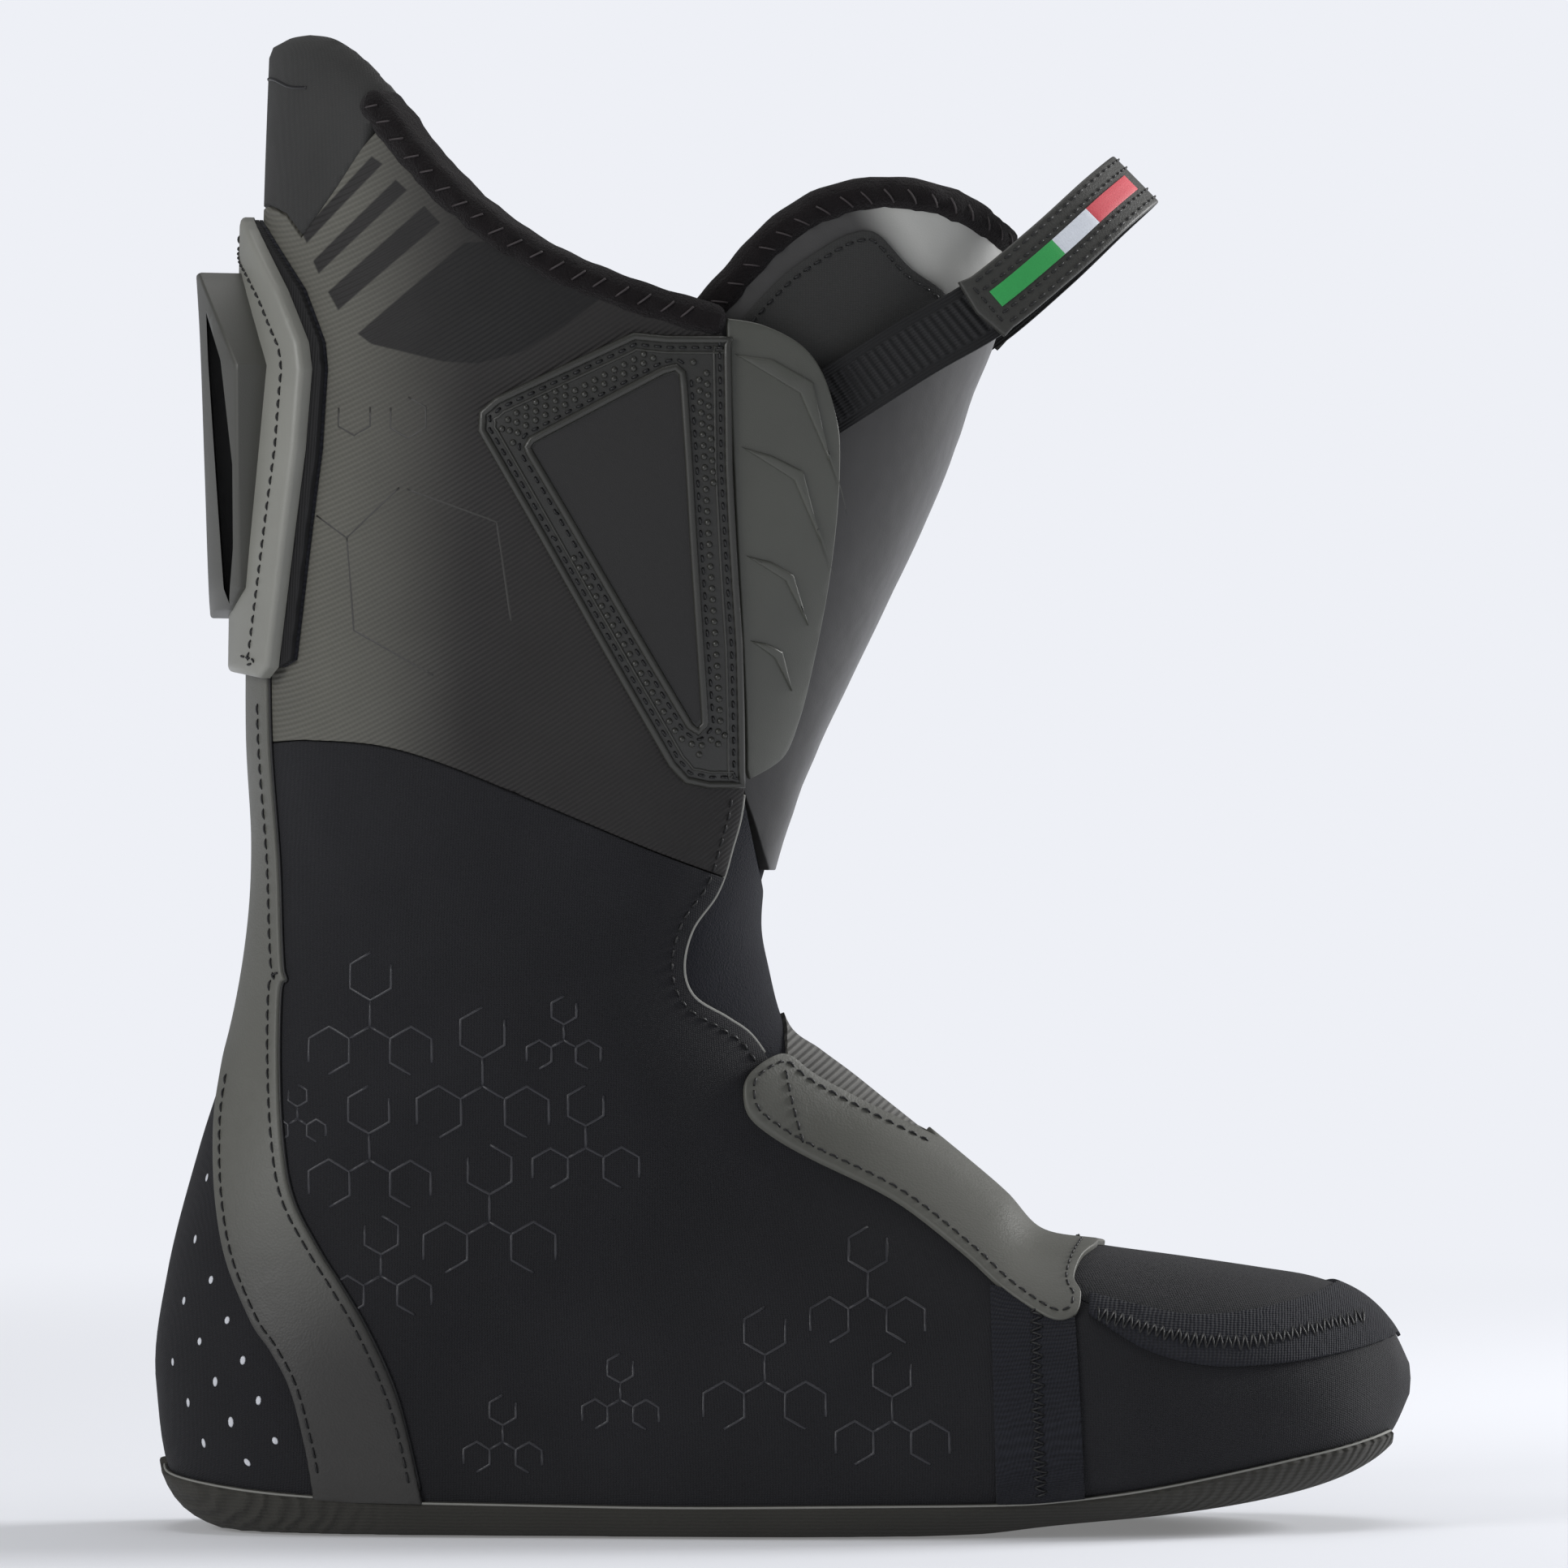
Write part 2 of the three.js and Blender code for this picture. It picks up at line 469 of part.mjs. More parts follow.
function addLining(levels) {
  const edge = moved(quarterFront, -LINING_SHORT, 0);
  const throat = [...edge, ...pairs(4, 116, 60, 110, 160, 80, 160, -20, -REACH, -20, -REACH, 150)];
  const footLining = prism([...throat.filter((p) => p.y < 150)]);
  add("foot_lining", layer(LINING).intersect(footLining).intersect(aboveLine(levels.liningFoot)), FLEECE);
  const cuffLining = prism([...edge.filter((p) => p.y > 151 && p.y < 266), ...pairs(-REACH, 151, -REACH,
      300, -109, 292, -96, 308), ...bindingFoot.filter((p) => p.x > -90)]);
  add("cuff_lining", layer(LINING).intersect(cuffLining), FLEECE);
}

function addCollar() {
  const thick = [LINING[0], SKIN[1]];
  const rear = [...moved(collarFoot, 0, GAP).slice(0, 5), ...shifted(collarTop.slice(0, BINDING_START),
      GAP / 2).slice(-1), ...reversed(collarTop.slice(0, BINDING_START)), ...pairs(-150, 338.2)];
  const firstFoot = bindingFoot[0];
  rear.splice(5, 0, new THREE.Vector2(firstFoot.x - GAP, firstFoot.y));
  add("rear_collar", layer(thick).intersect(prism(rear)), BLACK_KNIT);
  const band = [...bindingTop, ...reversed(shifted(bindingTop,
      BINDING_WIDTH - GAP))].map((p) => new THREE.Vector2(p.x, p.y));
  for (const [side, span] of Object.entries(SIDES)) {
    add(`collar_binding_${side}`, layer([LINING[0] - 0.8, 1.4]).intersect(prism(band, ...span)), PLUSH);
  }
}

function addOverlays() {
  const strap = [...strapFront.filter((p) => p.y < 110), ...reversed(strapRear.filter((p) => p.y < 110))];
  const backStrip = [...strapFront.filter((p) => p.y > 111), ...pairs(-REACH, 111, -REACH, 197)];
  const aboveRand = aboveLine(moved(randTop, 0, GAP));
  const belowBinding = [...bindingFoot, ...pairs(0, 150, -90, 150)];
  const frame = prism(frameOuter, -REACH, REACH, [frameWindow]).intersect(prism(belowBinding));
  const insert = shrunk(frameWindow, 0.96);
  const vamp = layer(OVERLAY).intersect(prism(vampOverlay));
  const vampZone = form(OVERLAY[1] + 1).intersect(prism(grown(vampOverlay, GAP)));
  const tape = prism([...pairs(46.2, 62, 47.5, 4, 67.4, 4), ...pairs(65, 50.6, 61.9, 56)]);
  for (const [side, span] of Object.entries(SIDES)) {
    const half = prism(pairs(-REACH, -20, REACH, -20, REACH, REACH * 2, -REACH, REACH * 2), ...span);
    add(`heel_strap_${side}`, layer(OVERLAY).intersect(prism(strap, ...span))
        .intersect(aboveRand), GREY_LEATHER);
    add(`triangle_frame_${side}`, layer(OVERLAY).intersect(frame).intersect(half), TPU);
    add(`triangle_insert_${side}`, layer(TAPE).intersect(prism(insert, ...span)), FOAM_GREY);
    const sideTape = layer(TAPE).intersect(tape).intersect(half).intersect(aboveRand).subtract(vampZone);
    add(`vamp_tape_${side}`, largest(sideTape), FLEECE);
  }
  add("back_strip", layer(OVERLAY).intersect(prism(backStrip)), GREY_LEATHER);
  add("vamp_overlay", vamp, GREY_LEATHER);
  const toeBand = prism([...toeTapeTop, ...reversed(toeTapeFoot)]);
  const beyondTape = prism(pairs(68.2, -20, 68.2, 100, 160, 100, 160, -20));
  add("toe_seam_tape", largest(layer(TAPE).intersect(toeBand).intersect(beyondTape)
      .subtract(vampZone)), FLEECE);
}
const largest = (solid) => solid.decompose().sort((a, b) => b.volume() - a.volume())[0];
const centreOf = (points) => points.reduce((sum, p) => sum.add(p), new THREE.Vector2())
    .divideScalar(points.length);
function shrunk(points, share) {
  const centre = centreOf(points);
  return points.map((p) => p.clone().sub(centre).multiplyScalar(share).add(centre));
}
function grown(points, distance) {
  return shifted([...points, points[0]], THREE.ShapeUtils.isClockWise(points) ? -distance : distance)
      .slice(0, -1);
}

function addFlaps() {
  const ribs = chevrons.map((points) => layer(CHEVRON).intersect(prism(points)));
  for (const [side, span] of Object.entries(SIDES)) {
    const half = prism(pairs(-REACH, 100, REACH, 100, REACH, REACH * 2, -REACH, REACH * 2), ...span);
    let flap = layer(FLAP).intersect(prism(frontFlap, ...span));
    for (const rib of ribs) flap = flap.add(rib.intersect(half));
    add(`front_flap_${side}`, largest(flap), TPU);
  }
}

function addTongue() {
  const front = pairs(70, 117.6, 70, 292);
  const shellFoot = aboveLine(pairs(-REACH, 152, REACH, 152));
  const padShare = tongueLayer(TONGUE_PAD).add(tongueLayer([TONGUE_PAD[0], 0])
      .subtract(aboveLine(pairs(-REACH, 152 - GAP, REACH, 152 - GAP))));
  const below = (line, drop) => belowLine(moved(line, 0, -drop));
  const rim = below(tongueTop, BINDING_WIDTH);
  const shell = prism([...shellRear, ...front]).intersect(rim);
  const pad = prism([...padRear, ...front]).intersect(rim);
  add("tongue_shell", tongueLayer(TONGUE_SHELL).intersect(shell).intersect(shellFoot), PLASTIC);
  add("tongue_pad", largest(padShare.intersect(pad)), FLEECE);
  add("tongue_lining", largest(tongueLayer(TONGUE_LINING).intersect(pad)), FLEECE);
  const band = prism([...shifted(tongueTop, 0).filter((p) => p.x > -30), ...reversed(moved(tongueTop, 0,
      GAP - BINDING_WIDTH).filter((p) => p.x > -30))]);
  add("tongue_binding", tongueLayer([TONGUE_LINING[0], 1.2]).intersect(band), PLUSH);
  const belowBand = belowLine(moved(tongueTop, 0, -BINDING_WIDTH - GAP));
  for (const [side, span] of Object.entries(SIDES)) {
    add(`tongue_panel_${side}`, tongueLayer(TONGUE_PANEL).intersect(prism(sidePanel, ...span))
        .intersect(belowBand), BLACK_KNIT);
  }
  // The sewn end of the tongue stays under the instep when the tongue is opened.
  const root = prism(pairs(-16, 108, -9, 113.4, 0, 113.4, 12, 106, 33, 90, 33, 84.2, 4, 84.2));
  add("tongue_root", largest(tongueLayer([-4.6, -0.8]).intersect(root)
      .intersect(form(LINING[0] - GAP))), FLEECE);
}

const loopPoints = [...LOOP_HALF, ...reversed(LOOP_HALF).slice(1).map(([x, y, z]) => [x, -y, z])];
const loopCurve = new THREE.CatmullRomCurve3(loopPoints.map((p) => new THREE.Vector3(...p)));
// A flat band along part of the loop, between two distances outside its middle line.
function loopBand(from, to, steps, width, inner, outer) {
  const rings = [];
  for (let k = 0; k <= steps; k++) {
    const at = from + ((to - from) * k) / steps;
    const middle = loopCurve.getPointAt(at);
    const tangent = loopCurve.getTangentAt(at);
    const slope = 0.58 + 0.2 * Math.min(1, (middle.x - 6) / 60); // radians that the loop rises
    const across = new THREE.Vector3(Math.sin(slope), 0, -Math.cos(slope));
    const outward = across.clone().cross(tangent).normalize();
    rings.push(
      [[-1, inner], [-1, outer], [1, outer], [1, inner]].map(([side, distance]) =>
        middle.clone().addScaledVector(across, (side * width) / 2).addScaledVector(outward, distance),
      ),
    );
  }
  return loft(rings);
}
function addPullLoop() {
  add("loop_webbing", loopBand(0, 1, LOOP_STEPS, WEBBING.width, -WEBBING.thick / 2, WEBBING.thick / 2), WEB);
  add("loop_tab", loopBand(...TAB_SPAN, 16, TAB.width, TAB.inner, TAB.outer), GREY_LEATHER);
  for (const [name, from, to, color] of STRIPES) {
    add(name, loopBand(from, to, 3, STRIPE.width, STRIPE.inner, STRIPE.outer), finish(color, 0.5));
  }
}

function addSpoiler() {
  add("spoiler_loop_pad", layer(LOOP_PAD).intersect(prism(spoilerPads)), FLEECE);
  add("spoiler_hook_pad", layer(HOOK_PAD).intersect(prism(spoilerPads)), WEB);
  add("spoiler_plate", layer(SPOILER_PLATE).intersect(prism(spoilerPlate)), TPU);
  const recess = layer([WINDOW_FLOOR, SPOILER_BLOCK[1] + 4]);
  const sideWindows = recess.intersect(prism(spoilerWindow));
  const channel = recess.intersect(prism(pairs(-160, 276, -110, 276, -110, 214, -160, 214), -5, 5));
  add("spoiler_block", layer(SPOILER_BLOCK).intersect(prism(spoilerBlock)).subtract(sideWindows)
      .subtract(channel), TPU);
}

const levels = addSole();
addUpper(levels);
addGusset();
addLining(levels);
addCollar();
addOverlays();
addFlaps();
addTongue();
addPullLoop();
addSpoiler();

export default liner;
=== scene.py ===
"""The liner of an alpine ski boot: foam upper, opening tongue, pull loop, front flaps and rear spoiler.

Every soft layer is bent onto the boot's form. A piece is first modelled flat, in a chart whose two axes run
along the boot and round it and whose third is height above the form, and then bent into place.
"""

import math
import random

import bmesh
import bpy
import numpy as np
from mathutils import Matrix, Vector


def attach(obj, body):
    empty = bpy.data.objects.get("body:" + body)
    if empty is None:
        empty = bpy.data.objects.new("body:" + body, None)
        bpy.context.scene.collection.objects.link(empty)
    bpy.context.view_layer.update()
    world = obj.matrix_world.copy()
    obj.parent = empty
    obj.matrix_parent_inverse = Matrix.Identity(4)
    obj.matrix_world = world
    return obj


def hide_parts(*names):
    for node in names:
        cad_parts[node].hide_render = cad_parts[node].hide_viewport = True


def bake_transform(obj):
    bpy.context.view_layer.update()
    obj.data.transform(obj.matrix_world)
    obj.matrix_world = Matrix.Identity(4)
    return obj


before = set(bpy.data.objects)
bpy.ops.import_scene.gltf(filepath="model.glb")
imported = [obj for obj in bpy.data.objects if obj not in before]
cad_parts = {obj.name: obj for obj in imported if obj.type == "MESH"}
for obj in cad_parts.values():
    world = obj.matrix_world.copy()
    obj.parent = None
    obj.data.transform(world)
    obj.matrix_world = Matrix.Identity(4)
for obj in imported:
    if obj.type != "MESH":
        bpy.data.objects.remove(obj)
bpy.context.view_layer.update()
random.seed(26)

MM = 0.001
ALONG = 26.0  # chart millimetres for one section of the boot
ROUND = 46.0  # chart millimetres for one radian round the boot
SIDES = {"right": 1, "left": -1}
RIM_STEPS = 3  # faces across a rounded rim

# Heights of a layer's outer and inner faces over the boot's form, and of the thread on it.
UPPER_LAYER = (0, -7)
LINING_LAYER = (-7.4, -8.3)
LEATHER_LAYER = (1.4, 0.1)
LEATHER_SEAM = 1.45
TOE_TIP = (143.4, 32.7)  # x and z where the toe closes

# ---------- the boot's form ----------
# One row for each section, from the top of the leg round the heel to the toe: the ends of the line across
# the boot in the side view (back or sole x z, front or instep x z), half width, widest place, squareness
# behind and in front of that, and sideways shift.
SECTIONS = np.array([
    [-117.0, 342, 56.0, 342, 49.0, 0.45, 2.2, 2.6, 0],
    [-118.5, 300, 52.5, 300, 51.5, 0.45, 2.2, 2.7, 0],
    [-119.0, 270, 47.5, 270, 52.8, 0.45, 2.2, 2.8, 0],
    [-120.0, 240, 38.0, 240, 52.8, 0.45, 2.2, 2.9, 0],
    [-121.0, 210, 24.0, 210, 51.0, 0.46, 2.2, 3.0, 0],
    [-121.2, 180, 9.5, 180, 47.8, 0.47, 2.2, 3.1, 0],
    [-120.0, 155, -1.0, 156, 44.0, 0.48, 2.2, 2.9, 0],
    [-121.2, 134, -4.2, 139, 41.5, 0.48, 2.2, 2.5, 0],
    [-125.4, 111, -2.6, 127, 40.5, 0.48, 2.2, 2.1, 0],
    [-133.2, 86, 1.2, 114, 40.0, 0.47, 2.2, 2.1, 0],
    [-140.4, 58, 8.2, 108.4, 39.5, 0.45, 2.2, 2.1, 0],
    [-143.0, 32, 15.5, 103, 39.0, 0.42, 2.4, 2.1, 0],
    [-134.5, 5, 23.0, 97, 38.5, 0.38, 3.2, 2.1, 0],
    [-98.0, -2.2, 31.5, 90.2, 40.5, 0.34, 4.6, 2.1, 0],
    [-54.0, -2.4, 41.0, 82.4, 43.5, 0.3, 5.0, 2.2, 0.3],
    [-10.0, -2.2, 50.0, 74.6, 47.2, 0.28, 5.0, 2.3, 0.8],
    [30.0, -0.6, 58.5, 66.0, 49.6, 0.3, 4.6, 2.4, 1.6],
    [60.0, 2.6, 73.0, 63.4, 50.0, 0.34, 4.2, 2.5, 2.8],
    [86.0, 4.8, 91.5, 60.8, 47.6, 0.36, 3.8, 2.5, 4.4],
    [106.0, 7.4, 109.0, 58.2, 42.6, 0.38, 3.4, 2.4, 6.2],
    [121.0, 10.6, 121.5, 56.0, 35.4, 0.4, 3.0, 2.3, 7.8],
    [131.6, 14.8, 131.6, 51.8, 27.0, 0.43, 2.6, 2.2, 8.8],
    [138.6, 20.4, 138.6, 45.0, 17.0, 0.47, 2.3, 2.1, 9.4],
    [143.0, 29.0, 143.0, 36.4, 5.0, 0.5, 2.0, 2.0, 9.6],
])
LAST = len(SECTIONS) - 1

# The tongue: height, front x, half width, depth of the curve.
TONGUE = np.array([
    [84, 20, 14, 14],
    [97, 6, 15, 15],
    [110, -4, 16, 17],
    [118, -1.2, 14.5, 19],
    [126, -1.4, 14.8, 21],
    [141, -3.6, 15.2, 25],
    [151, -1.4, 16.2, 28],
    [161, 1.8, 18.4, 32],
    [173, 6.4, 22, 36],
    [193, 15.5, 29, 43],
    [212, 24.6, 35, 49],
    [229, 32.6, 37.2, 53],
    [245, 39.0, 38, 56],
    [257, 43.0, 38, 58],
    [268, 47.6, 38, 60],
    [279, 50.8, 37.8, 61],
    [290, 52.2, 37.4, 60],
    [308, 52.6, 37, 58],
])
TONGUE_POWER = 2 / 2.5
TONGUE_WIDTH = 50.0  # chart millimetres from the tongue's front to where its sides start


def through(rows, at):
    """The rows' smooth curve at these places between them."""
    at = np.clip(np.asarray(at, float), 0, len(rows) - 1)
    first = np.minimum(at.astype(int), len(rows) - 2)
    t = (at - first)[..., None]
    a, b, c, d = (rows[np.clip(first + k, 0, len(rows) - 1)] for k in (-1, 0, 1, 2))
    return b + 0.5 * t * (c - a + t * (2 * a - 5 * b + 4 * c - d + t * (3 * (b - c) + d - a)))


def sideways(before, after):
    """Unit vectors to the right of the way from before to after."""
    way = after - before
    way = way / np.maximum(np.linalg.norm(way, axis=-1, keepdims=True), 1e-9)
    return np.stack([way[..., 1], -way[..., 0]], axis=-1)


def bend_boot(points):
    """Chart points (along, round, height), in millimetres, bent onto the boot's form."""
    s, angle, height = points[:, 0] / ALONG, points[:, 1] / ROUND, points[:, 2]
    row = through(SECTIONS, s)
    before, after = through(SECTIONS, s - 0.1), through(SECTIONS, s + 0.1)
    swell = 0.35 * np.sin(2.1 * s + 2 * angle) * np.sin(angle) ** 2 * np.clip(LAST - s, 0, 1)
    height = height + swell
    back = row[:, 0:2] + sideways(before[:, 0:2], after[:, 0:2]) * height[:, None]
    front = row[:, 2:4] - sideways(before[:, 2:4], after[:, 2:4]) * height[:, None]
    along = np.cos(angle)
    power = 2 / np.where(along > 0, row[:, 6], row[:, 7])
    reach = np.abs(along) ** power
    share = np.where(along > 0, row[:, 5] * (1 - reach), row[:, 5] + (1 - row[:, 5]) * reach)
    half = np.maximum(row[:, 4] + height, 0.6)
    y = -np.sign(np.sin(angle)) * half * np.abs(np.sin(angle)) ** power + row[:, 8]
    place = back + (front - back) * share[:, None]
    bent = np.column_stack([place[:, 0], y, place[:, 1]])
    beyond = np.clip(s - LAST, 0, 1)[:, None]  # past the last section the toe closes to a point
    tip = np.column_stack([np.full(len(s), TOE_TIP[0]), row[:, 8], np.full(len(s), TOE_TIP[1])])
    return bent + (tip - bent) * beyond


def chart_boot(points):
    """Side-view points (x, z) as chart points on the boot's outer side."""
    points = np.asarray(points, float)
    low, high = np.zeros(len(points)), np.full(len(points), float(LAST))
    for _ in range(34):
        middle = (low + high) / 2
        row = through(SECTIONS, middle)
        line = row[:, 2:4] - row[:, 0:2]
        to = points - row[:, 0:2]
        after = line[:, 0] * to[:, 1] - line[:, 1] * to[:, 0] < 0
        low, high = np.where(after, middle, low), np.where(after, high, middle)
    row = through(SECTIONS, low)
    line = row[:, 2:4] - row[:, 0:2]
    share = np.sum((points - row[:, 0:2]) * line, axis=1) / np.sum(line * line, axis=1)
    widest = row[:, 5]
    behind = np.clip(1 - share / widest, 0, 1) ** (row[:, 6] / 2)
    ahead = np.clip((share - widest) / (1 - widest), 0, 1) ** (row[:, 7] / 2)
    angle = np.arccos(np.clip(np.where(share < widest, behind, -ahead), -1, 1))
    return np.column_stack([low * ALONG, angle * ROUND])


def wall_reach(x, z, height):
    """How far the boot's form reaches sideways at side-view places, at this height above the form."""
    chart = chart_boot(np.column_stack([x, z]))
    return np.abs(bend_boot(np.column_stack([chart, np.zeros(len(x))]))[:, 1]) + height


def bend_tongue(points):
    """Chart points (height up the tongue, round it, height above it) bent onto the tongue's form."""
    z, turn, height = points[:, 0], points[:, 1] / TONGUE_WIDTH, points[:, 2]
    row = through(TONGUE, np.interp(z, TONGUE[:, 0], np.arange(len(TONGUE))))
    angle = np.clip(np.abs(turn), 0, 1) * math.pi / 2
    depth, half = row[:, 3] + height, row[:, 2] + height
    x = row[:, 1] + height - depth * (1 - np.maximum(np.cos(angle), 0) ** TONGUE_POWER)
    x -= np.maximum(np.abs(turn) - 1, 0) * 40
    y = half * np.sin(angle) ** TONGUE_POWER
    edge = np.interp(z, QUARTER_EDGE[::-1, 1], QUARTER_EDGE[::-1, 0])
    inside = np.clip((edge + 3 - x) / 3, 0, 1)
    under = ((z > 169) & (z < 273) & (x < 16)) * 1.0
    limit = np.where(
        inside > 0, wall_reach(x, z, 0) - 8.8 * inside - 1.9 * (1 - inside),
        np.where(under > 0, wall_reach(x, z, -1.9), 99)
    )
    y = np.minimum(y, np.maximum(limit + np.minimum(height, 0), 1))
    return np.column_stack([x, -np.sign(turn) * y, z])


def chart_tongue(points):
    """Side-view points (x, z) as chart points on the tongue's outer side."""
    points = np.asarray(points, float)
    row = through(TONGUE, np.interp(points[:, 1], TONGUE[:, 0], np.arange(len(TONGUE))))
    back = (row[:, 1] - points[:, 0]) / row[:, 3]
    angle = np.arccos(np.clip(1 - back, 0, 1) ** (1 / TONGUE_POWER))
    turn = np.where(back < 1, angle / (math.pi / 2), 1 + (back - 1) * row[:, 3] / 40)
    return np.column_stack([points[:, 1], np.maximum(turn, 0) * TONGUE_WIDTH])


# ---------- outlines in the side view (x, z) ----------
def pairs(*numbers):
    return np.array(numbers, float).reshape(-1, 2)


def smooth(points, steps=60):
    """A smooth line through these points."""
    at = np.linspace(0, len(points) - 1, steps)
    return through(points, at)


def moved(line, dx, dz):
    return line + np.array([dx, dz])


def shifted(line, distance):
    """A line moved to the right of its own direction."""
    last = len(line) - 1
    return line + sideways(
        line[[max(i - 1, 0) for i in range(last + 1)]], line[[min(i + 1, last) for i in range(last + 1)]]
    ) * distance


def run_along(line):
    """The distance from a line's start to each of its points."""
    return np.concatenate([[0], np.cumsum(np.linalg.norm(np.diff(line, axis=0), axis=1))])


def at_run(line, run, at):
    """The places at these distances along a line."""
    return np.column_stack([np.interp(at, run, line[:, k]) for k in range(line.shape[1])])


def join(*lines):
    return np.concatenate(lines)


def between(line, low, high):
    return line[(line[:, 1] > low) & (line[:, 1] < high)]


COLLAR_TOP = smooth(
    pairs(
        -111, 338.2, -104.5, 336.6, -97, 331.2, -88.4, 321.8, -80, 311, -68.5, 299.7, -53.7, 289.7,
        -38.9, 283.2, -24, 278.2, -12, 275.2
    ),
    80
)
BINDING_FROM = 23
BINDING_TOP = COLLAR_TOP[BINDING_FROM:]
BINDING_FOOT = shifted(BINDING_TOP, 8)
QUARTER_EDGE = smooth(
    pairs(
        -13.6, 278, -11.6, 240, -9.6, 200, -8.6, 168, -11.6, 153, -14.8, 144, -20.4, 136, -22.4, 127.5,
        -20, 120.8, -12.4, 116, -7, 112, -2.4, 105
    ),
    90
)
LAMINATE_LINE = smooth(
    pairs(
        -150, 174, -116, 178, -104.6, 178.3, -90, 177, -75, 172.6, -52.8, 163.4, -30.6, 154.1, -13.2, 147.6
    ),
    60
)
STRAP_FRONT = smooth(
    pairs(
        -116, 198, -115.6, 177, -113.6, 151.3, -113.1, 134.7, -112.7, 127, -112.1, 124.5, -113.3, 122,
        -113.5, 106.9, -112.4, 88.4, -110.2, 75.5, -104.6, 64.4, -99.1, 56, -93.5, 46.8, -88, 34.8,
        -84.3, 21.8, -80.4, 4
    ),
    110
)
STRAP_REAR = smooth(
    pairs(
        -125.6, 111, -127, 103, -128.2, 92, -127.6, 75.5, -125, 60.7, -119.4, 47.7, -114.8, 41.3,
        -110.2, 32.9, -107.4, 21.8, -105, 4
    ),
    60
)
STRAP_MIDDLE = smooth(
    pairs(-119, 190, -118.2, 150, -118.6, 125, -121, 100, -119, 78, -112, 58, -103, 42, -97, 22, -93, 0), 60
)
VAMP_MIDDLE = smooth(pairs(-2.4, 103, 8, 96, 25, 84.5, 42, 71, 57.9, 54.8), 30)
TOE_MIDDLE = smooth(pairs(58.1, 54.6, 66, 53, 80, 47, 93.3, 44, 108, 44.2, 122, 46.6, 150, 53), 40)
TOE_TAPE_TOP = smooth(pairs(66.6, 54.6, 80.4, 51.2, 93.3, 49.2, 110, 50.5, 124.8, 54.2, 152, 63), 50)
TOE_TAPE_FOOT = smooth(
    pairs(67.4, 50.2, 80.4, 42.2, 93.3, 38.5, 106.3, 38.1, 121.1, 39.4, 140, 43.1, 152, 46), 50
)
RAND_TOP = smooth(
    pairs(
        -152, 17.6, -141.6, 14.8, -138, 12.6, -123, 10.6, -104.6, 9, -81, 7.6, -12, 7.4, 43, 7.5, 67.4, 9.2,
        99, 13.9, 120, 18, 152, 25.4
    ),
    90
)
VAMP_EDGE = smooth(
    pairs(
        33.6, 87.9, 18.4, 95.6, 6.4, 102.2, 0.8, 106.4, -3.4, 106, -8.2, 102.6, -9.3, 98.6, -8, 93.6,
        -2.9, 89.2, 6.4, 83.8, 24.9, 74.4, 39.7, 63.4, 48.9, 55, 57.3, 49.4, 61.9, 48, 65.6, 49.6,
        66.6, 53.8, 65.2, 57, 67.4, 61.4, 71.5, 63.6
    ),
    110
)
FLAP_FRONT = smooth(
    pairs(
        -12.6, 272.6, -4.7, 271.2, 3.6, 267, 8.6, 260.9, 11.9, 251.2, 12.9, 243, 12.3, 229, 10.1, 212.4,
        6.4, 193.9, 3.6, 182.8, 0, 174.5, -7.4, 169.6
    ),
    70
)
FRAME_EDGE = pairs(
    -12.4, 268.6, -26, 268.6, -33.5, 269.3, -64, 254.8, -67.4, 251.8, -67.6, 247.6, -26, 173.2,
    -22.6, 169.4, -17.4, 168.2, -9.4, 168.2, -9.9, 200, -11.9, 240
)
WINDOW_EDGE = pairs(
    -23.2, 260.2, -24.4, 261.4, -27, 260.6, -55.8, 245.2, -56.6, 244, -56, 242.8,
    -21.2, 182.4, -19.8, 181.2, -18.7, 182.6, -20.1, 210, -21.8, 240,
)
PLATE_EDGE = pairs(
    -152, 297.8, -121, 298, -118, 296.4, -109.8, 280, -105, 268, -104.2, 262, -105.5, 244, -112, 195,
    -114, 192.6, -119.4, 193.8, -152, 200
)
PAD_EDGE = pairs(
    -152, 296, -118.4, 297, -107.6, 280, -103, 268, -102.4, 262, -103.4, 244, -109.6, 196.6, -112.4, 195,
    -152, 201
)
BLOCK_EDGE = pairs(-123, 284.6, -116.4, 263, -121.4, 213, -126, 206.4)
TONGUE_TOP = smooth(
    pairs(
        -36, 259, -26, 270, -18.6, 277.2, -12, 284.5, -3, 294.4, 6.4, 301, 15.6, 304.4, 25, 305.4,
        34, 304.4, 43.4, 301, 51, 295.6, 62, 288
    ),
    70
)
TONGUE_REAR = smooth(
    pairs(-35, 290, -36, 260, -38, 220, -37, 185, -34, 160, -30, 142, -24, 128, -16, 121.6, -9, 117.6), 50
)
SHELL_REAR = smooth(pairs(-27, 290, -26, 270, -24, 240, -20, 210, -14, 186, -10, 170, -6, 158, -3, 148), 40)
TONGUE_PANEL = smooth(
    pairs(
        -15, 266, -8, 274.6, 0, 283, 9, 289.4, 15, 292.4, 20.5, 292.4, 27.7, 284.9, 36.4, 277.6, 29, 268,
        11, 252.6, -6, 251, -15, 255
    ),
    70
)


def dense(outline, spacing=2.5):
    """The outline with extra points so that none are farther apart than the spacing."""
    ends = np.roll(outline, -1, axis=0)
    out = []
    for a, b in zip(outline, ends):
        count = max(1, int(np.linalg.norm(b - a) / spacing))
        out += [a + (b - a) * k / count for k in range(count)]
    return np.array(out)


def tidy(chart):
    """Chart points without repeats."""
    keep = [0]
    for i in range(1, len(chart)):
        if np.linalg.norm(chart[i] - chart[keep[-1]]) > 0.25:
            keep.append(i)
    if np.linalg.norm(chart[keep[-1]] - chart[0]) < 0.25:
        keep.pop()
    return chart[keep]


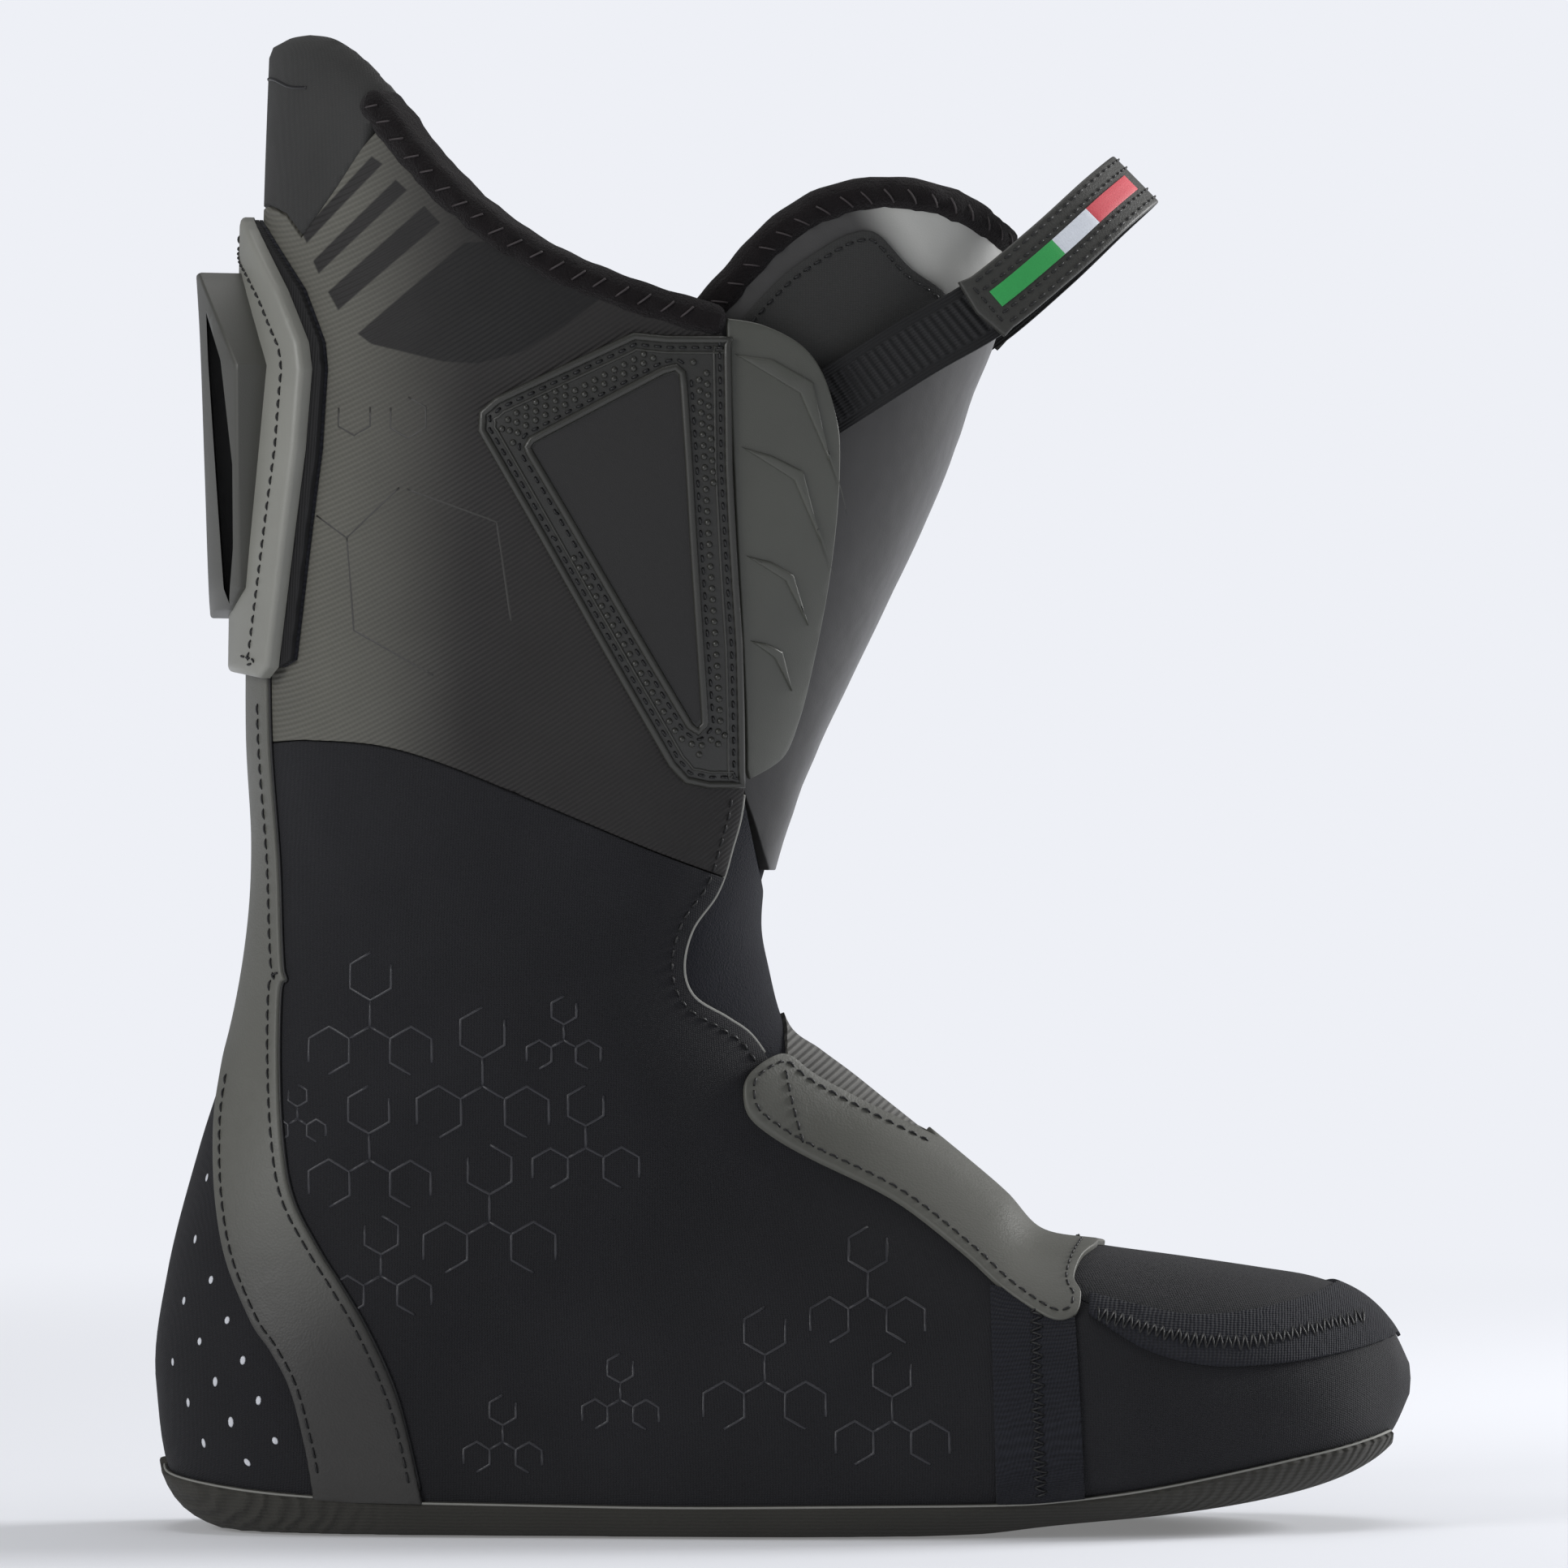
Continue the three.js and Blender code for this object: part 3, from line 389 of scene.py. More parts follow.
def wrap(chart, seam):
    """A closed chart outline that ends on a seam, joined there to its mirror image."""
    on_seam = np.abs(chart[:, 1] - seam) < 0.3
    start = next(i for i in range(len(chart)) if on_seam[i] and not on_seam[(i + 1) % len(chart)])
    turned = np.roll(chart, -start, axis=0)
    free = [p for p in turned[1:] if abs(p[1] - seam) >= 0.3]
    first, last = turned[0], next(p for p in turned[len(free) + 1:] if abs(p[1] - seam) < 0.3)
    half = np.array([[first[0], seam], *free, [last[0], seam]])
    other = half[-2:0:-1].copy()
    other[:, 1] = 2 * seam - other[:, 1]
    return join(half, other)


FRONT, BACK = math.pi * ROUND, 0.0


def on_boot(outline, seam=None):
    chart = tidy(chart_boot(dense(outline)))
    return chart if seam is None else wrap(chart, seam)


def on_tongue(outline, seam=None):
    chart = tidy(chart_tongue(dense(outline)))
    return chart if seam is None else wrap(chart, seam)


# ---------- making meshes ----------
def grid(bm, step):
    """Cuts across a flat model both ways, so that it bends smoothly."""
    for axis, normal in ((0, (1, 0, 0)), (1, (0, 1, 0))):
        values = [v.co[axis] for v in bm.verts]
        low, high = min(values), max(values)
        count = int((high - low) / step)
        for k in range(1, count + 1):
            point = [0, 0, 0]
            point[axis] = low + (high - low) * k / (count + 1)
            everything = bm.verts[:] + bm.edges[:] + bm.faces[:]
            bmesh.ops.bisect_plane(bm, geom=everything, dist=1e-4, plane_co=point, plane_no=normal)


def slab(outlines, outer, inner, rim=0.0, step=3.2):
    """Flat sheets in the chart, from height inner to outer, with a rounded upper rim."""
    bm = bmesh.new()
    for outline in outlines:
        lower = bm.faces.new([bm.verts.new((u, v, inner)) for u, v in outline])
        lower.normal_update()
        wall = bmesh.ops.extrude_face_region(bm, geom=[lower], use_keep_orig=True)
        top = next(g for g in wall["geom"] if isinstance(g, bmesh.types.BMFace))
        bmesh.ops.translate(bm, verts=top.verts[:], vec=(0, 0, outer - rim - inner))
        top.normal_update()
        if top.normal.z < 0:
            top.normal_flip()
        for k in range(RIM_STEPS if rim else 0):
            a, b = (math.pi / 2 * (k + j) / RIM_STEPS for j in (0, 1))
            bmesh.ops.inset_individual(
                bm,
                faces=[top],
                thickness=rim * (math.cos(a) - math.cos(b)),
                depth=rim * (math.sin(b) - math.sin(a)),
                use_even_offset=True,
            )
    grid(bm, step)
    return bm


def crown(bm, edge, level, reach, how, way=-1):
    """Rounds one face of a flat model down towards a chart line, over this many true millimetres."""
    verts = [v for v in bm.verts if abs(v.co.z - level) < 1e-5]
    spots = how(np.array([v.co[:] for v in verts]))
    line = filled_in(edge, 0.3)
    rim = how(np.column_stack([line, np.full(len(line), level)]))
    gap = np.array([np.min(np.linalg.norm(rim - spot, axis=1)) for spot in spots])
    near = np.clip(1 - (gap - 0.25) / reach, 0, 1)
    fall = reach * (1 - np.sqrt(1 - near * near))
    for vert, drop in zip(verts, fall):
        vert.co.z += way * drop


def bar(length, width, low, high, radius, step=2.0):
    """A long soft bar along a ribbon, rounded all round."""
    bm = bmesh.new()
    middle = Matrix.Translation((length / 2, 0, (low + high) / 2))
    bmesh.ops.create_cube(bm, size=1, matrix=middle @ Matrix.Diagonal((length, width, high - low, 1)))
    bmesh.ops.bevel(
        bm, geom=bm.edges[:], offset=radius, segments=4, profile=0.5, affect="EDGES", material=-1
    )
    grid(bm, step)
    return bm


def ribbon(line, how):
    """A bending rule for what runs along a chart line, and the line's length in millimetres."""
    low, high = (how(np.column_stack([line, np.full(len(line), h)])) for h in (0.0, 1.0))
    run = np.concatenate([[0], np.cumsum(np.linalg.norm(np.diff(low, axis=0), axis=1))])
    tangent = np.gradient(low, run, axis=0)
    normal = high - low
    normal /= np.linalg.norm(normal, axis=1, keepdims=True)
    across = np.cross(normal, tangent)
    across /= np.linalg.norm(across, axis=1, keepdims=True)

    def bend_along(points):
        at = [
            np.column_stack([np.interp(points[:, 0], run, data[:, k]) for k in range(3)])
            for data in (low, across, normal)
        ]
        return at[0] + at[1] * points[:, 1:2] + at[2] * points[:, 2:3]
    return bend_along, run[-1]


def bend(bm, how, side=1):
    """Bends a flat chart model into place and keeps its chart position as its UV map."""
    layer = bm.loops.layers.uv.new("chart")
    for face in bm.faces:
        for loop in face.loops:
            loop[layer].uv = (loop.vert.co.x * MM, loop.vert.co.y * MM)
    points = np.array([v.co[:] for v in bm.verts])
    points[:, 1] *= side
    for vert, place in zip(bm.verts, how(points)):
        vert.co = Vector(place) * MM
    bmesh.ops.remove_doubles(bm, verts=bm.verts[:], dist=0.00002)
    bmesh.ops.recalc_face_normals(bm, faces=bm.faces[:])
    return bm


def piece(name, shape, finish, body="boot", nodes=(), slot=None, sharp=None):
    """A finished object from a bmesh or a mesh."""
    mesh = shape
    if isinstance(shape, bmesh.types.BMesh):
        mesh = bpy.data.meshes.new(name)
        shape.to_mesh(mesh)
        shape.free()
    mesh.shade_smooth()
    if sharp:
        mesh.set_sharp_from_angle(angle=math.radians(sharp))
    mesh.materials.clear()
    mesh.materials.append(finish)
    made = bpy.data.objects.new(name, mesh)
    bpy.context.scene.collection.objects.link(made)
    if body:
        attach(made, body)
    if nodes:
        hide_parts(*nodes)
    return made


def panel(name, outline, layer, finish, how=bend_boot, rim=0.0, step=3.2, side=1, sharp=40, **place):
    """A sheet of one material, cut to a chart outline and bent into place."""
    outlines = outline if isinstance(outline, list) else [outline]
    return piece(
        name, bend(slab(outlines, layer[0], layer[1], rim, step), how, side), finish, sharp=sharp, **place
    )


def lift(chart_points, height, how, side=1):
    """Chart points at a height, in metres in the boot's frame."""
    points = np.column_stack([chart_points, np.broadcast_to(height, len(chart_points))])
    points[:, 1] *= side
    return how(points) * MM


def tubes(name, lines, radius, finish, closed=False, facets=2, **place):
    """Round cords along lines of points in metres, joined in one mesh."""
    curve = bpy.data.curves.new(name, "CURVE")
    curve.dimensions = "3D"
    curve.bevel_depth = radius * MM
    curve.bevel_resolution = facets
    curve.use_fill_caps = True
    for line in lines:
        spline = curve.splines.new("POLY")
        spline.points.add(len(line) - 1)
        spline.points.foreach_set("co", np.column_stack([line, np.ones(len(line))]).ravel())
        spline.use_cyclic_u = closed
    holder = bpy.data.objects.new(name + "_line", curve)
    mesh = bpy.data.meshes.new_from_object(holder)
    bpy.data.objects.remove(holder)
    bm = bmesh.new()
    bm.from_mesh(mesh)
    bmesh.ops.remove_doubles(bm, verts=bm.verts[:], dist=0.000002)
    bmesh.ops.recalc_face_normals(bm, faces=bm.faces[:])
    return piece(name, bm, finish, **place)


def stitches(chart_line, height, how=bend_boot, side=1, long=2.3, gap=1.1, rise=0.3):
    """Short threads that rise out of a seam and dip back into it."""
    count = max(2, len(chart_line) * 4)
    fine = through(chart_line, np.linspace(0, len(chart_line) - 1, count))
    places = lift(fine, height, how, side) / MM
    run = run_along(places)
    threads = []
    for start in np.arange(gap, run[-1] - long, long + gap):
        at = start + np.array([0, 0.25, 0.5, 0.75, 1.0]) * long
        spots = at_run(fine, run, at)
        threads.append(lift(spots, height + rise * np.array([-0.6, 0.55, 0.8, 0.55, -0.6]), how, side))
    return threads


# ---------- finishes ----------
def paint(code):
    """A colour from its six-figure code, as the shader wants it."""
    parts = [int(code[i:i + 2], 16) / 255 for i in (0, 2, 4)]
    return tuple(c / 12.92 if c <= 0.04045 else ((c + 0.055) / 1.055) ** 2.4 for c in parts) + (1.0,)


class Value:
    """A shader socket that takes arithmetic."""

    def __init__(self, finish, socket):
        self.finish, self.socket = finish, socket

    def _math(self, operation, *values):
        return self.finish.node("ShaderNodeMath", {"operation": operation}, dict(enumerate(values)))

    def __add__(self, other):
        return self._math("ADD", self, other)

    def __sub__(self, other):
        return self._math("SUBTRACT", self, other)

    def __rsub__(self, other):
        return self._math("SUBTRACT", other, self)

    def __mul__(self, other):
        return self._math("MULTIPLY", self, other)

    def __truediv__(self, other):
        return self._math("DIVIDE", self, other)

    def __pow__(self, other):
        return self._math("POWER", self, other)

    def __abs__(self):
        return self._math("ABSOLUTE", self)

    def sine(self):
        return self._math("SINE", self)

    __radd__, __rmul__ = __add__, __mul__


class Finish:
    """A material built from what the boot's cloths and plastics share."""

    def __init__(self, name, color, roughness, **constant):
        self.material = bpy.data.materials.new(name)
        self.material.use_nodes = True
        self.tree = self.material.node_tree
        self.shader = next(n for n in self.tree.nodes if n.type == "BSDF_PRINCIPLED")
        self.color, self.roughness = paint(color), roughness
        self.set(Base_Color=self.color, Roughness=roughness, **constant)
        place = self.node("ShaderNodeTexCoord", {}, {}, "Object")
        self.mm = self.node("ShaderNodeVectorMath", {"operation": "SCALE"}, {0: place, "Scale": 1000.0})
        self.x, self.y, self.z = (self.node("ShaderNodeSeparateXYZ", {}, {0: self.mm}, k) for k in range(3))

    def node(self, kind, settings, sockets, out=0):
        made = self.tree.nodes.new(kind)
        for key, value in settings.items():
            setattr(made, key, value)
        for key, value in sockets.items():
            if isinstance(value, Value):
                self.tree.links.new(value.socket, made.inputs[key])
            else:
                made.inputs[key].default_value = value
        return Value(self, made.outputs[out])

    def set(self, **sockets):
        for key, value in sockets.items():
            socket = self.shader.inputs[key.replace("_", " ")]
            if isinstance(value, Value):
                self.tree.links.new(value.socket, socket)
            else:
                socket.default_value = value

    def chart(self):
        """The place on the piece's own UV map, in millimetres."""
        uv = self.node("ShaderNodeUVMap", {"uv_map": "chart"}, {})
        return [self.node("ShaderNodeSeparateXYZ", {}, {0: uv}, k) * 1000 for k in range(2)]

    def noise(self, size, detail=2.0, rough=0.5, at=None):
        """Soft random patches about this many millimetres across, around 0.5."""
        return self.node(
            "ShaderNodeTexNoise", {},
            {"Vector": at or self.mm, "Scale": 1.0 / size, "Detail": detail, "Roughness": rough}
        )

    def cells(self, size):
        """Round cells about this many millimetres across."""
        return self.node(
            "ShaderNodeTexVoronoi", {"feature": "F1"}, {"Vector": self.mm, "Scale": 1.0 / size}
        )

    def ridge(self, across, pitch):
        """A wave from 0 to 1 across this value, one every pitch."""
        return (across * (2 * math.pi / pitch)).sine() * 0.5 + 0.5

    def past(self, value, edge, soft=0.15):
        """0 below the edge and 1 above it."""
        return self.node(
            "ShaderNodeMapRange", {"interpolation_type": "SMOOTHSTEP"},
            {"Value": value, "From Min": edge - soft, "From Max": edge + soft}
        )

    def mix(self, mask, a, b):
        return self.node("ShaderNodeMix", {"data_type": "RGBA"}, {0: mask, 6: a, 7: b}, 2)

    def times(self, a, b):
        """Two colours multiplied."""
        return self.node(
            "ShaderNodeMix", {"data_type": "RGBA", "blend_type": "MULTIPLY"}, {0: 1.0, 6: a, 7: b}, 2
        )

    def shade(self, amount, spread=0.5):
        """The finish's own colour made lighter and darker by a value around 0.5."""
        dark = tuple(c * (1 - spread) for c in self.color[:3]) + (1.0,)
        light = tuple(min(c * (1 + spread), 1) for c in self.color[:3]) + (1.0,)
        return self.mix(amount, dark, light)

    def bump(self, height, depth, strength=1.0):
        """Relief of this many millimetres."""
        self.set(
            Normal=self.node(
                "ShaderNodeBump", {}, {"Height": height, "Distance": depth * MM, "Strength": strength}
            )
        )


def knit_finish(name="black stretch knit", color="1d1d20", relief=0.18):
    """Fine jersey over foam: rows of loops, a little fuzz and slow patches of wear."""
    f = Finish(name, color, 0.82, Sheen_Weight=0.03, Sheen_Roughness=0.5, Specular_IOR_Level=0.3)
    wales = f.ridge(f.x + f.y * 0.35 + f.noise(5) * 0.6, 0.62)
    courses = f.ridge(f.z + f.y * 0.5 + f.noise(6) * 0.6, 0.5)
    loops = wales * courses
    fuzz = f.noise(0.3, 3)
    patches = f.noise(26, 3)
    f.set(
        Base_Color=f.shade(patches * 0.55 + loops * 0.3 + fuzz * 0.25, 0.42),
        Roughness=f.noise(18) * 0.16 + 0.74
    )
    f.bump(loops * 0.6 + fuzz * 0.8, relief)
    return f.material


def laminate_finish():
    """Grey twill laminate of the cuff, with the printed bars and blade under the collar, and painted shade
    darkening it towards the front.
    """
    f = Finish("grey twill laminate", "45443f", 0.62, Specular_IOR_Level=0.35)
    twill = f.ridge(f.x * 0.55 - f.z * 0.84 + f.y * 0.3, 1.05)
    yarn = f.ridge(f.x * 0.84 + f.z * 0.55, 0.9)
    fuzz = f.noise(0.35, 3)
    # Painted shade: the cloth and the print on it are painted darker towards the front of the cuff, where
    # less light falls.
    front = f.past(f.x, -86, 19)
    cloth = f.mix(front, paint("5a5952"), paint("211f1e"))
    dark = f.mix(front, f.mix(fuzz, paint("1d1c1b"), paint("282625")), paint("100f0f"))
    ink = None
    for bar in PRINTED_BARS:
        inside = None
        for (ax, az), (bx, bz) in zip(bar, bar[1:] + bar[:1]):
            length = math.hypot(bx - ax, bz - az)
            nx, nz = (az - bz) / length, (bx - ax) / length
            edge = f.past(f.x * nx + f.z * nz - (ax * nx + az * nz), 0.0, 0.25)
            inside = edge if inside is None else inside * edge
        ink = inside if ink is None else 1 - (1 - ink) * (1 - inside)
    texture = twill * 0.35 + yarn * 0.1 + fuzz * 0.3 + f.noise(22, 3) * 0.45
    lighter = f.times(cloth, f.mix(texture, (0.62, 0.62, 0.62, 1), (1.42, 1.42, 1.42, 1)))
    f.set(Base_Color=f.mix(ink, lighter, dark), Roughness=f.noise(14) * 0.14 + 0.54)
    f.bump(twill * 0.8 + fuzz * 0.4, 0.16)
    return f.material


def leather_finish(name="grey synthetic leather", color="5a5a54", low="5a5a54"):
    """Smooth coated leather: fine pores, faint creases, paler where it bends; a darker low colour paints
    shade towards the bottom.
    """
    f = Finish(name, color, 0.5, Specular_IOR_Level=0.45)
    pores = f.cells(0.55)
    creases = f.noise(3.2, 4, 0.6)
    patches = f.noise(30, 3)
    worn = f.mix(patches * 0.7 + creases * 0.25, (0.8, 0.8, 0.8, 1), (1.2, 1.2, 1.2, 1))
    # Painted shade: when the low colour is darker, the leather is painted darker towards the bottom.
    painted_shade_tone = f.mix(f.past(f.z, 62, 26), paint(low), paint(color))
    toned = f.times(painted_shade_tone, worn)
    f.set(Base_Color=toned, Roughness=creases * 0.16 + patches * 0.12 + 0.36)
    f.bump(pores * 0.35 + creases * 0.5, 0.12)
    return f.material


def moulded_finish(name="satin moulded rubber", color="4b4c46", roughness=0.42):
    """Moulded soft plastic: very fine grain, slow variation of gloss."""
    f = Finish(name, color, roughness, Specular_IOR_Level=0.5)
    grain = f.noise(0.28, 2)
    patches = f.noise(24, 3)
    f.set(Base_Color=f.shade(patches, 0.18), Roughness=patches * 0.16 + grain * 0.1 + roughness - 0.12)
    f.bump(grain, 0.035)
    return f.material


def plush_finish():
    """Short brown-black pile, matted in places."""
    f = Finish(
        "brown-black plush", "191516", 0.95, Sheen_Weight=0.08, Sheen_Roughness=0.4, Specular_IOR_Level=0.2
    )
    pile = f.noise(0.55, 4, 0.7)
    mats = f.noise(4.5, 3)
    f.set(Base_Color=f.shade(pile * 0.7 + mats * 0.4, 0.75))
    f.bump(pile + mats * 0.8, 0.9)
    return f.material


def fleece_finish(name="navy brushed fleece", color="20222d"):
    f = Finish(name, color, 0.95, Sheen_Weight=0.08, Sheen_Roughness=0.5, Specular_IOR_Level=0.2)
    nap = f.noise(0.5, 4, 0.65)
    mats = f.noise(7, 3)
    f.set(Base_Color=f.shade(nap * 0.6 + mats * 0.45, 0.55))
    f.bump(nap + mats * 0.5, 0.4)
    return f.material


def tape_finish(name="navy ribbed tape", across=1.0, pitch=1.25):
    """Knit tape over a seam, ribbed across its length and gathered by its stitching."""
    f = Finish(name, "1d1e24", 0.85, Sheen_Weight=0.03, Specular_IOR_Level=0.3)
    u, v = f.chart()
    along, side = (u, v) if across else (v, u)
    ribs = f.ridge(along + f.noise(6) * 1.2, pitch)
    legs = f.ridge(side + f.noise(3) * 0.6, 0.9)
    gathers = f.noise(
        2.2, 3,
        at=f.node(
            "ShaderNodeVectorMath", {"operation": "MULTIPLY"},
            {0: f.mm, 1: (1.6, 1, 0.35) if across else (0.35, 1, 1.6)}
        )
    )
    f.set(Base_Color=f.shade(ribs * 0.4 + legs * 0.2 + gathers * 0.5, 0.6))
    f.bump(ribs * 0.5 + legs * 0.25 + gathers * 1.2, 0.4)
    return f.material


def elastic_finish():
    f = Finish("grey ribbed elastic", "4c4b47", 0.75, Sheen_Weight=0.1)
    ribs = f.ridge(f.x * 0.62 - f.z * 0.78, 1.5)
    f.set(Base_Color=f.shade(ribs * 0.6 + f.noise(10) * 0.4, 0.5))
    f.bump(ribs, 0.35)
    return f.material


def felt_finish():
    """Dense textile of the rand and sole, gathered where it turns under at the toe and heel."""
    f = Finish("dense sole textile", "3a3935", 0.88, Sheen_Weight=0.03, Specular_IOR_Level=0.3)
    ends = f.past(abs(f.x + 8), 92, 18)
    puckers = f.ridge(f.x + f.y * 0.6 + f.noise(7) * 4, 3.6) * ends
    weave = f.ridge(f.z + f.noise(5) * 0.5, 0.8)
    fuzz = f.noise(0.5, 4, 0.6)
    f.set(Base_Color=f.shade(puckers * 0.22 + weave * 0.16 + fuzz * 0.35 + f.noise(30) * 0.35, 0.42))
    f.bump(puckers * 1.3 + weave * 0.2 + fuzz * 0.4, 0.45)
    return f.material


def webbing_finish():
    f = Finish("black ribbed webbing", "1b1b1c", 0.72, Specular_IOR_Level=0.35)
    u, v = f.chart()
    ribs = f.ridge(u, 2.1) * (1 - f.past(abs(v), 4.9, 0.3))
    yarns = f.ridge(v, 0.7)
    f.set(Base_Color=f.shade(ribs * 0.6 + yarns * 0.25 + f.noise(5) * 0.2, 0.6))
    f.bump(ribs * 0.8 + yarns * 0.25, 0.5)
    return f.material


def tongue_finish():
    """Satin plastic front of the tongue: brushed grey, with a pale painted highlight on the rim near its
    top.
    """
    f = Finish("satin tongue plastic", "3d3c3b", 0.4, Specular_IOR_Level=0.55, Coat_Roughness=0.3)
    grain = f.noise(0.4, 2)
    patches = f.noise(34, 3)
    waves = f.noise(11, 2)
    # Painted highlight: a pale patch on the rim near the top of the tongue.
    top = f.past(f.z, 279, 7) * f.past(f.x + (f.z - 285) * 0.6, 28, 7)
    base = f.shade(patches, 0.2)
    f.set(Base_Color=f.mix(top, base, paint("b9b9b4")), Roughness=patches * 0.14 + grain * 0.08 + 0.3)
    f.bump(waves * 1.0 + grain * 0.06, 0.5)
    return f.material


def plain_finish(name, color, roughness=0.6, grain=0.4, relief=0.05):
    f = Finish(name, color, roughness)
    speck = f.noise(grain, 3)
    f.set(
        Base_Color=f.shade(speck * 0.6 + f.noise(12) * 0.4, 0.2), Roughness=speck * 0.15 + roughness - 0.08
    )
    f.bump(speck, relief)
    return f.material


# Printed bars on the cuff, as corners in the side view, counter-clockwise seen from the outer side.
PRINTED_BARS = [
    [(-108.7, 293), (-107.5, 290.5), (-90, 307.7), (-92.5, 309.5)],
    [(-106, 286.4), (-104.7, 283.5), (-84.4, 301.7), (-87, 304.1)],
    [(-102.5, 279.3), (-100.1, 275.1), (-76.9, 294.2), (-80.5, 298.1)],
    [
        (-95.6, 269.7), (-92.5, 267.3), (-76.2, 263.1), (-68.5, 262.6), (-58.7, 265), (-49.1, 270.8),
        (-40.8, 277.1), (-40.8, 291), (-71.4, 289.7)
    ],
]

BLACK_KNIT = knit_finish()
COLLAR_KNIT = knit_finish("black neoprene", "363635", 0.08)
LAMINATE = laminate_finish()
LEATHER = leather_finish()
# The heel strap leather is painted darker towards the bottom as painted shade.
STRAP_LEATHER_PAINTED_SHADE = leather_finish("grey strap leather", "61615b", "373634")
MOULDED = moulded_finish()
# The spoiler plate's rubber is its own grey made paler, as a painted highlight.
SPOILER_RUBBER_PAINTED_HIGHLIGHT = moulded_finish("grey spoiler rubber", "878780", 0.4)
BLOCK_RUBBER = moulded_finish("grey spoiler block rubber", "474742", 0.42)
FRAME_RUBBER = moulded_finish("dark frame rubber", "262623", 0.42)
# The lips and studs are the frame's own rubber and truly glossier, but painted paler than the frame as
# painted highlight.
STUD_RUBBER_PAINTED_HIGHLIGHT = moulded_finish("shiny frame rubber", "32322e", 0.34)
# Dark sheet of the triangle insert; also laid on the spoiler block's recess as painted shade.
INSERT_AND_RECESS_SHADE = moulded_finish("dark insert sheet", "191817", 0.55)
DARK_LEATHER = leather_finish("dark synthetic leather", "3b3b38", "3b3b38")
PLUSH = plush_finish()
FLEECE = fleece_finish(color="181920")
LINING = fleece_finish("charcoal lining", "2a2a2d")
TAPE = tape_finish()
CROSS_TAPE = tape_finish("navy cross tape", 0.0, 1.1)
ELASTIC = elastic_finish()
FELT = felt_finish()
WEBBING = webbing_finish()
TONGUE_PLASTIC = tongue_finish()
THREAD = plain_finish("black waxed thread", "121213", 0.5)
PLUSH_THREAD = plain_finish("brown tacking thread", "352f30", 0.6)
RAW_EDGE = plain_finish("pale cut edge", "8b8b86", 0.8)
# The pressed lines are painted paler than the knit as painted highlight on their ridges; their gloss is
# real.
EMBOSS_PAINTED_HIGHLIGHT = plain_finish("pressed film line", "2f2f33", 0.38)
FAINT = plain_finish("faint pressed line", "31302d", 0.5)
GREEN = plain_finish("printed green", "35a455", 0.55)
WHITE = plain_finish("printed white", "dfe4ee", 0.55)
RED = plain_finish("printed red", "d95660", 0.55)
FOAM_DOT = plain_finish("pale foam in a hole", "d4d6dc", 0.8)
FOAM = plain_finish("dark cut foam", "2b2b2d", 0.9, 0.8, 0.2)


# ---------- the upper ----------
REACH = 160  # side-view x safely past the boot, either way


def upper():
    half = 0.12
    cuff = join(
        pairs(-150, 299.6, -117, 299.7, -112.6, 297, -109, 291.8, -101, 302.5, -95.2, 311.2),
        BINDING_FOOT[BINDING_FOOT[:, 0] > -92] + (0, 2.5),
        shifted(between(QUARTER_EDGE, 148.6, 268), half),
        moved(LAMINATE_LINE[::-1], 0, half),
    )
    quarter = join(
        shifted(STRAP_MIDDLE[STRAP_MIDDLE[:, 1] < 176.5], -half),
        pairs(-90, 4, 50, 4),
        pairs(57.8, 5, 57.8, 54),
        moved(VAMP_MIDDLE[::-1], 0, -half),
        shifted(between(QUARTER_EDGE, 0, 146), half)[::-1],
        moved(LAMINATE_LINE[::-1], 0, -half)[LAMINATE_LINE[::-1][:, 0] > -117.6],
    )
    for side, sign in SIDES.items():
        sheet = panel(
            f"cuff_{side}", on_boot(cuff), UPPER_LAYER, LAMINATE, side=sign, rim=0.35,
            nodes=[f"cuff_skin_{side}", f"cuff_foam_{side}"], slot="grey_laminate"
        )
        sheet = panel(
            f"quarter_{side}", on_boot(quarter), UPPER_LAYER, BLACK_KNIT, side=sign, rim=0.35,
            nodes=[f"quarter_skin_{side}", f"quarter_foam_{side}"], slot="black_knit"
        )
        pad = smooth(
            pairs(-100, 92, -92, 122, -76, 136, -62, 128, -52, 108, -58, 90, -74, 78, -90, 78, -100, 92), 50
        )[:-1]
        cushion = panel(
            f"ankle_cushion_{side}", on_boot(pad), (-8.7, -11.4), LINING, side=sign,
            nodes=[f"ankle_pad_{side}"], slot="foam"
        )
    heel = join(between(shifted(STRAP_MIDDLE, half), 4, 175), pairs(-118, 4, -150, 6, -150, 175))
    panel("heel_cup", on_boot(heel, BACK), UPPER_LAYER, BLACK_KNIT, nodes=["heel_panel"], slot="black_knit")
    instep = join(
        moved(VAMP_MIDDLE[VAMP_MIDDLE[:, 0] > 0.4], 0, half), pairs(57.8, 60, 57.8, 110, 0.4, 130)
    )
    panel(
        "instep_stretch", on_boot(instep, FRONT), UPPER_LAYER, ELASTIC, nodes=["instep_elastic"],
        slot="elastic"
    )
    toe_top = join(moved(TOE_MIDDLE, 0, half), pairs(150, 120, 58.1, 120))
    panel(
        "toe_cap", on_boot(toe_top, FRONT), UPPER_LAYER, BLACK_KNIT, nodes=["toe_top_panel"],
        slot="black_knit"
    )
    low = chart_boot(pairs(58.1, 2.2))[0][0]
    rise = chart_boot(moved(TOE_MIDDLE, 0, -half))
    rise = rise[rise[:, 1] < FRONT - 0.5]
    toe_side = tidy(
        join(
            np.array(
                [
                    [low, 1.0], [LAST * ALONG + 12, 1.0], [LAST * ALONG + 25.9, FRONT * 0.5],
                    [LAST * ALONG + 25.9, FRONT], [rise[-1][0] + 1.5, FRONT]
                ]
            ),
            rise[::-1], np.array([[rise[0][0], 20.0]])
        )
    )
    panel(
        "toe_wall", wrap(tidy(dense(toe_side)), FRONT), UPPER_LAYER, BLACK_KNIT,
        nodes=["toe_side_panel", "toe_box_foam"], slot="black_knit"
    )


